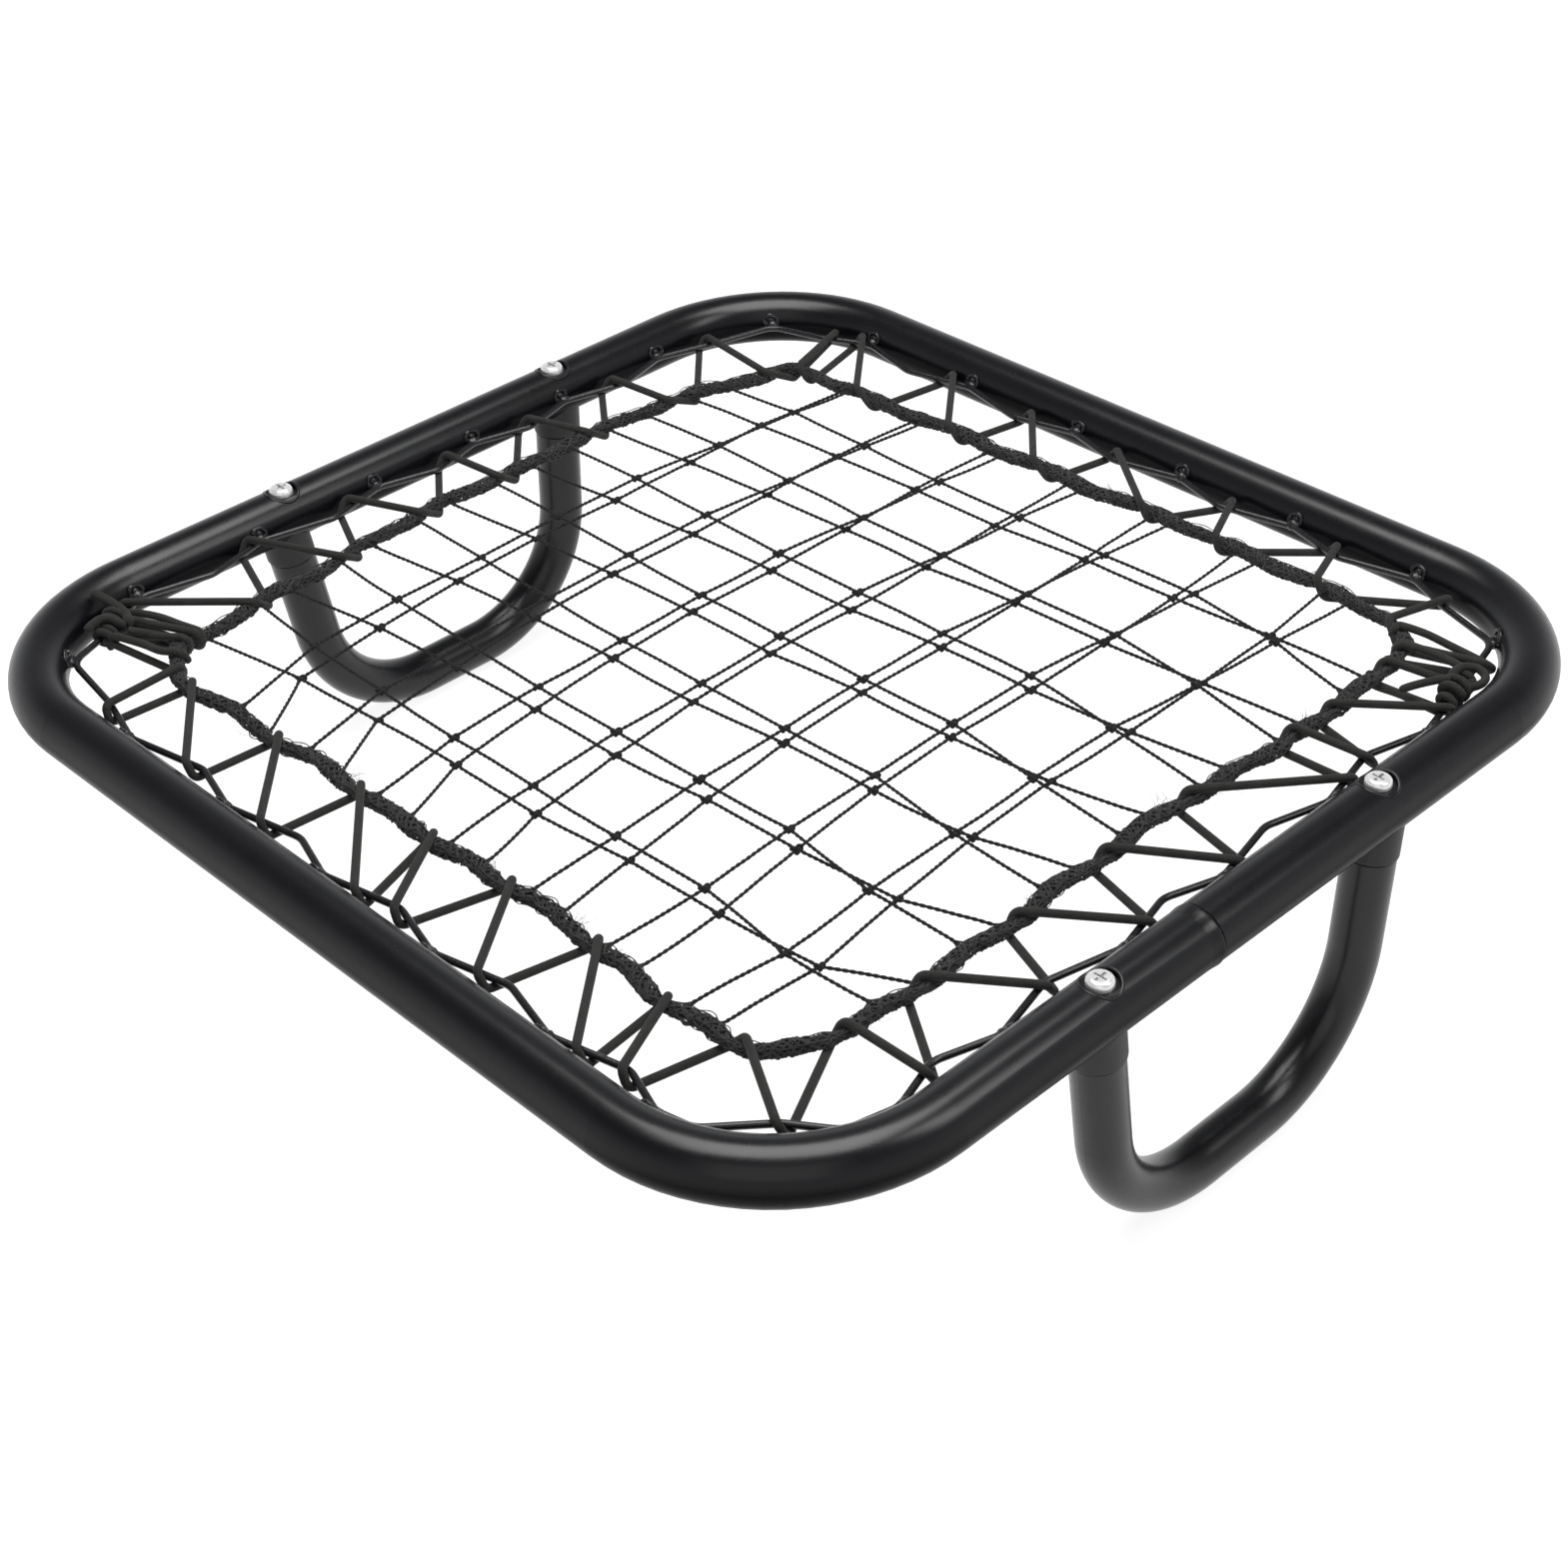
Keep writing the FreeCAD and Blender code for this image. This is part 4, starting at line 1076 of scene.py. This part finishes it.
# The coil round the wire: its middle, direction, length, radius and number of turns.
COILS = {
    "left": ((-251, -211, 1.5), (-0.56, 0.83, 0.0), 24, 4.5, 5),
    "right": ((258.5, 187, 2.2), (0.20, -0.98, 0.0), 26, 4.2, 5),
}
# Where each strand hooks round the hem, over (1) or under (-1) it, then its points up to the wire.
HOOKED_STRANDS = {
    "left": (
        ((-213, -186, 1), (-225, -189, 4.8), (-237, -192, 5), (-248, -197, 5), (-255, -201, 4)),
        ((-215, -193, -1), (-225, -198, 1.5), (-231, -204, 4), (-237, -209, 5)),
        ((-204, -204, 1), (-212, -209, 4.8), (-222, -211, 4.6), (-232, -214, 4.6), (-239, -217, 5)),
    ),
    "right": (
        ((209, 215, 1), (222, 215, 5), (236, 214.5, 4.8), (254, 213.5, 4.6), (259, 216, 1.4),
         (255, 216.5, -2)),
        ((219, 202, 1), (232, 203, 5.0), (246, 203, 5.2), (255, 201, 5.0)),
        ((222, 175, -1), (236, 175, -3.0), (249, 172, -0.5), (261, 168, 2.5)),
    ),
}
# The thickness and the points of each loose turn.
LOOSE_TURNS = {
    "left": (
        (2.5, (-243, -206, 6.5), (-249, -204, 7.2), (-254.5, -204.5, 9), (-260, -206.5, 11.4),
         (-266.5, -209.5, 14.2)),
        (2.1, (-243, -210, 7), (-249, -213, 9), (-251, -217, 9.5), (-250.5, -221, 9.3), (-249.5, -225, 8.6)),
    ),
    "right": (
        (2.1, (256, 190, 4.5), (253, 192, 7.5), (254, 198.5, 8.5), (259.5, 202, 8.5), (265, 200.5, 7.5),
         (266.5, 196, 6.5), (264, 191, 5.5), (260.5, 188, 5.5), (260, 183, 4.5)),
        (2.0, (255, 188, 8), (252, 182, 8.6), (248, 176, 8.0), (245, 171.5, 7.2), (242.5, 168, 6.0)),
    ),
}

for corner, (middle, axis, spread, radius, coils) in COILS.items():
    soup = Soup()
    wound(soup, np.array(middle), axis, spread, radius, coils, 31)
    wound(soup, np.array(middle) + (0, 0, 1.5), axis, spread * 0.5, radius + 1.6, 2, 33)
    for thickness, *points in LOOSE_TURNS[corner]:
        soup.tube(smooth_route(points), thickness, sides=12)
    knot = piece("corner_bunch_" + corner, soup, "elastic_cord")
    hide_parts("corner_knot_" + corner)
    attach(knot, "frame")
    for i, (hook, *points) in enumerate(HOOKED_STRANDS[corner]):
        soup = Soup()
        path = smooth_route(hooked(*hook) + points)
        soup.tube(path, CORD_RADIUS, sides=14)
        strand = piece("corner_strand_%s_%d" % (corner, i + 1), soup, "elastic_cord")
        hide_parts("corner_knot_" + corner)
        laid_on(strand)

# ---- stage and light ----


def area_light(name, at, look, width, height, power):
    data = bpy.data.lights.new(name, "AREA")
    data.energy = power
    data.shape = "RECTANGLE"
    data.size = width
    data.size_y = height
    light = bpy.data.objects.new(name, data)
    light.location = at
    light.rotation_euler = (Vector(look) - Vector(at)).to_track_quat("-Z", "Y").to_euler()
    scene.collection.objects.link(light)


def seen_directly(shader):
    """1 for rays from the camera, and for reflected and transmitted ones; 0 for those that only light."""
    path = shader.node("ShaderNodeLightPath")
    total = path.outputs["Is Camera Ray"]
    for other in ("Is Transmission Ray", "Is Glossy Ray"):
        total = shader.math("ADD", total, path.outputs[other], clamp=True)
    return total


# The sky: brightest at the horizon, and even from its fade height up.
FADE_HEIGHT, HORIZON, OVERHEAD = 0.78, 0.85, 0.10
world = bpy.data.worlds.new("world")
scene.world = world
sky = Shader(world, "ShaderNodeOutputWorld")
split = sky.node("ShaderNodeSeparateXYZ", Vector=sky.node("ShaderNodeTexCoord").outputs["Generated"])
fade = sky.node("ShaderNodeMapRange", Value=split.outputs["Z"], From_Min=0.0, From_Max=FADE_HEIGHT,
                To_Min=HORIZON, To_Max=OVERHEAD)
fade.interpolation_type = "SMOOTHSTEP"
plain = sky.node("ShaderNodeBackground", Color=(0.97, 0.98, 1.0, 1), Strength=fade.outputs["Result"])
sky.put(sky.out.inputs[0], plain.outputs[0])

area_light("overhead", at=(-0.10, 0.12, 1.9), look=(0, 0, 0.1), width=1.35, height=1.35, power=36)
area_light("side", at=(1.3, -1.5, 1.5), look=(0, 0, 0.1), width=1.8, height=1.8, power=7)
area_light("strip", at=(1.20, 0.65, 1.50), look=(0.25, -0.1, 0.15), width=0.5, height=0.9, power=8)

FLOOR_REACH = 6                     # metres each way
corners = [(x * FLOOR_REACH, y * FLOOR_REACH, 0) for x, y in ((-1, -1), (1, -1), (1, 1), (-1, 1))]
floor_mesh = bpy.data.meshes.new("floor")
floor_mesh.from_pydata(corners, [], [(0, 1, 2, 3)])
floor = bpy.data.objects.new("floor", floor_mesh)
scene.collection.objects.link(floor)
# Seen directly or in a reflection the floor glows to a plain pale tone; it lights the part as grey card.
ground = surface("floor")
lit = ground.node("ShaderNodeBsdfDiffuse", Color=(0.75, 0.75, 0.75, 1))
dim = ground.node("ShaderNodeBsdfDiffuse", Color=(0.30, 0.30, 0.30, 1))
glow = ground.node("ShaderNodeEmission", Color=(1, 1, 1, 1), Strength=0.86)
both = ground.node("ShaderNodeAddShader")
ground.put(both.inputs[0], dim.outputs[0])
ground.put(both.inputs[1], glow.outputs[0])
chosen = ground.node("ShaderNodeMixShader", Fac=seen_directly(ground))
ground.put(chosen.inputs[1], lit.outputs[0])
ground.put(chosen.inputs[2], both.outputs[0])
ground.put(ground.out.inputs[0], chosen.outputs[0])
floor_mesh.materials.append(ground.owner)
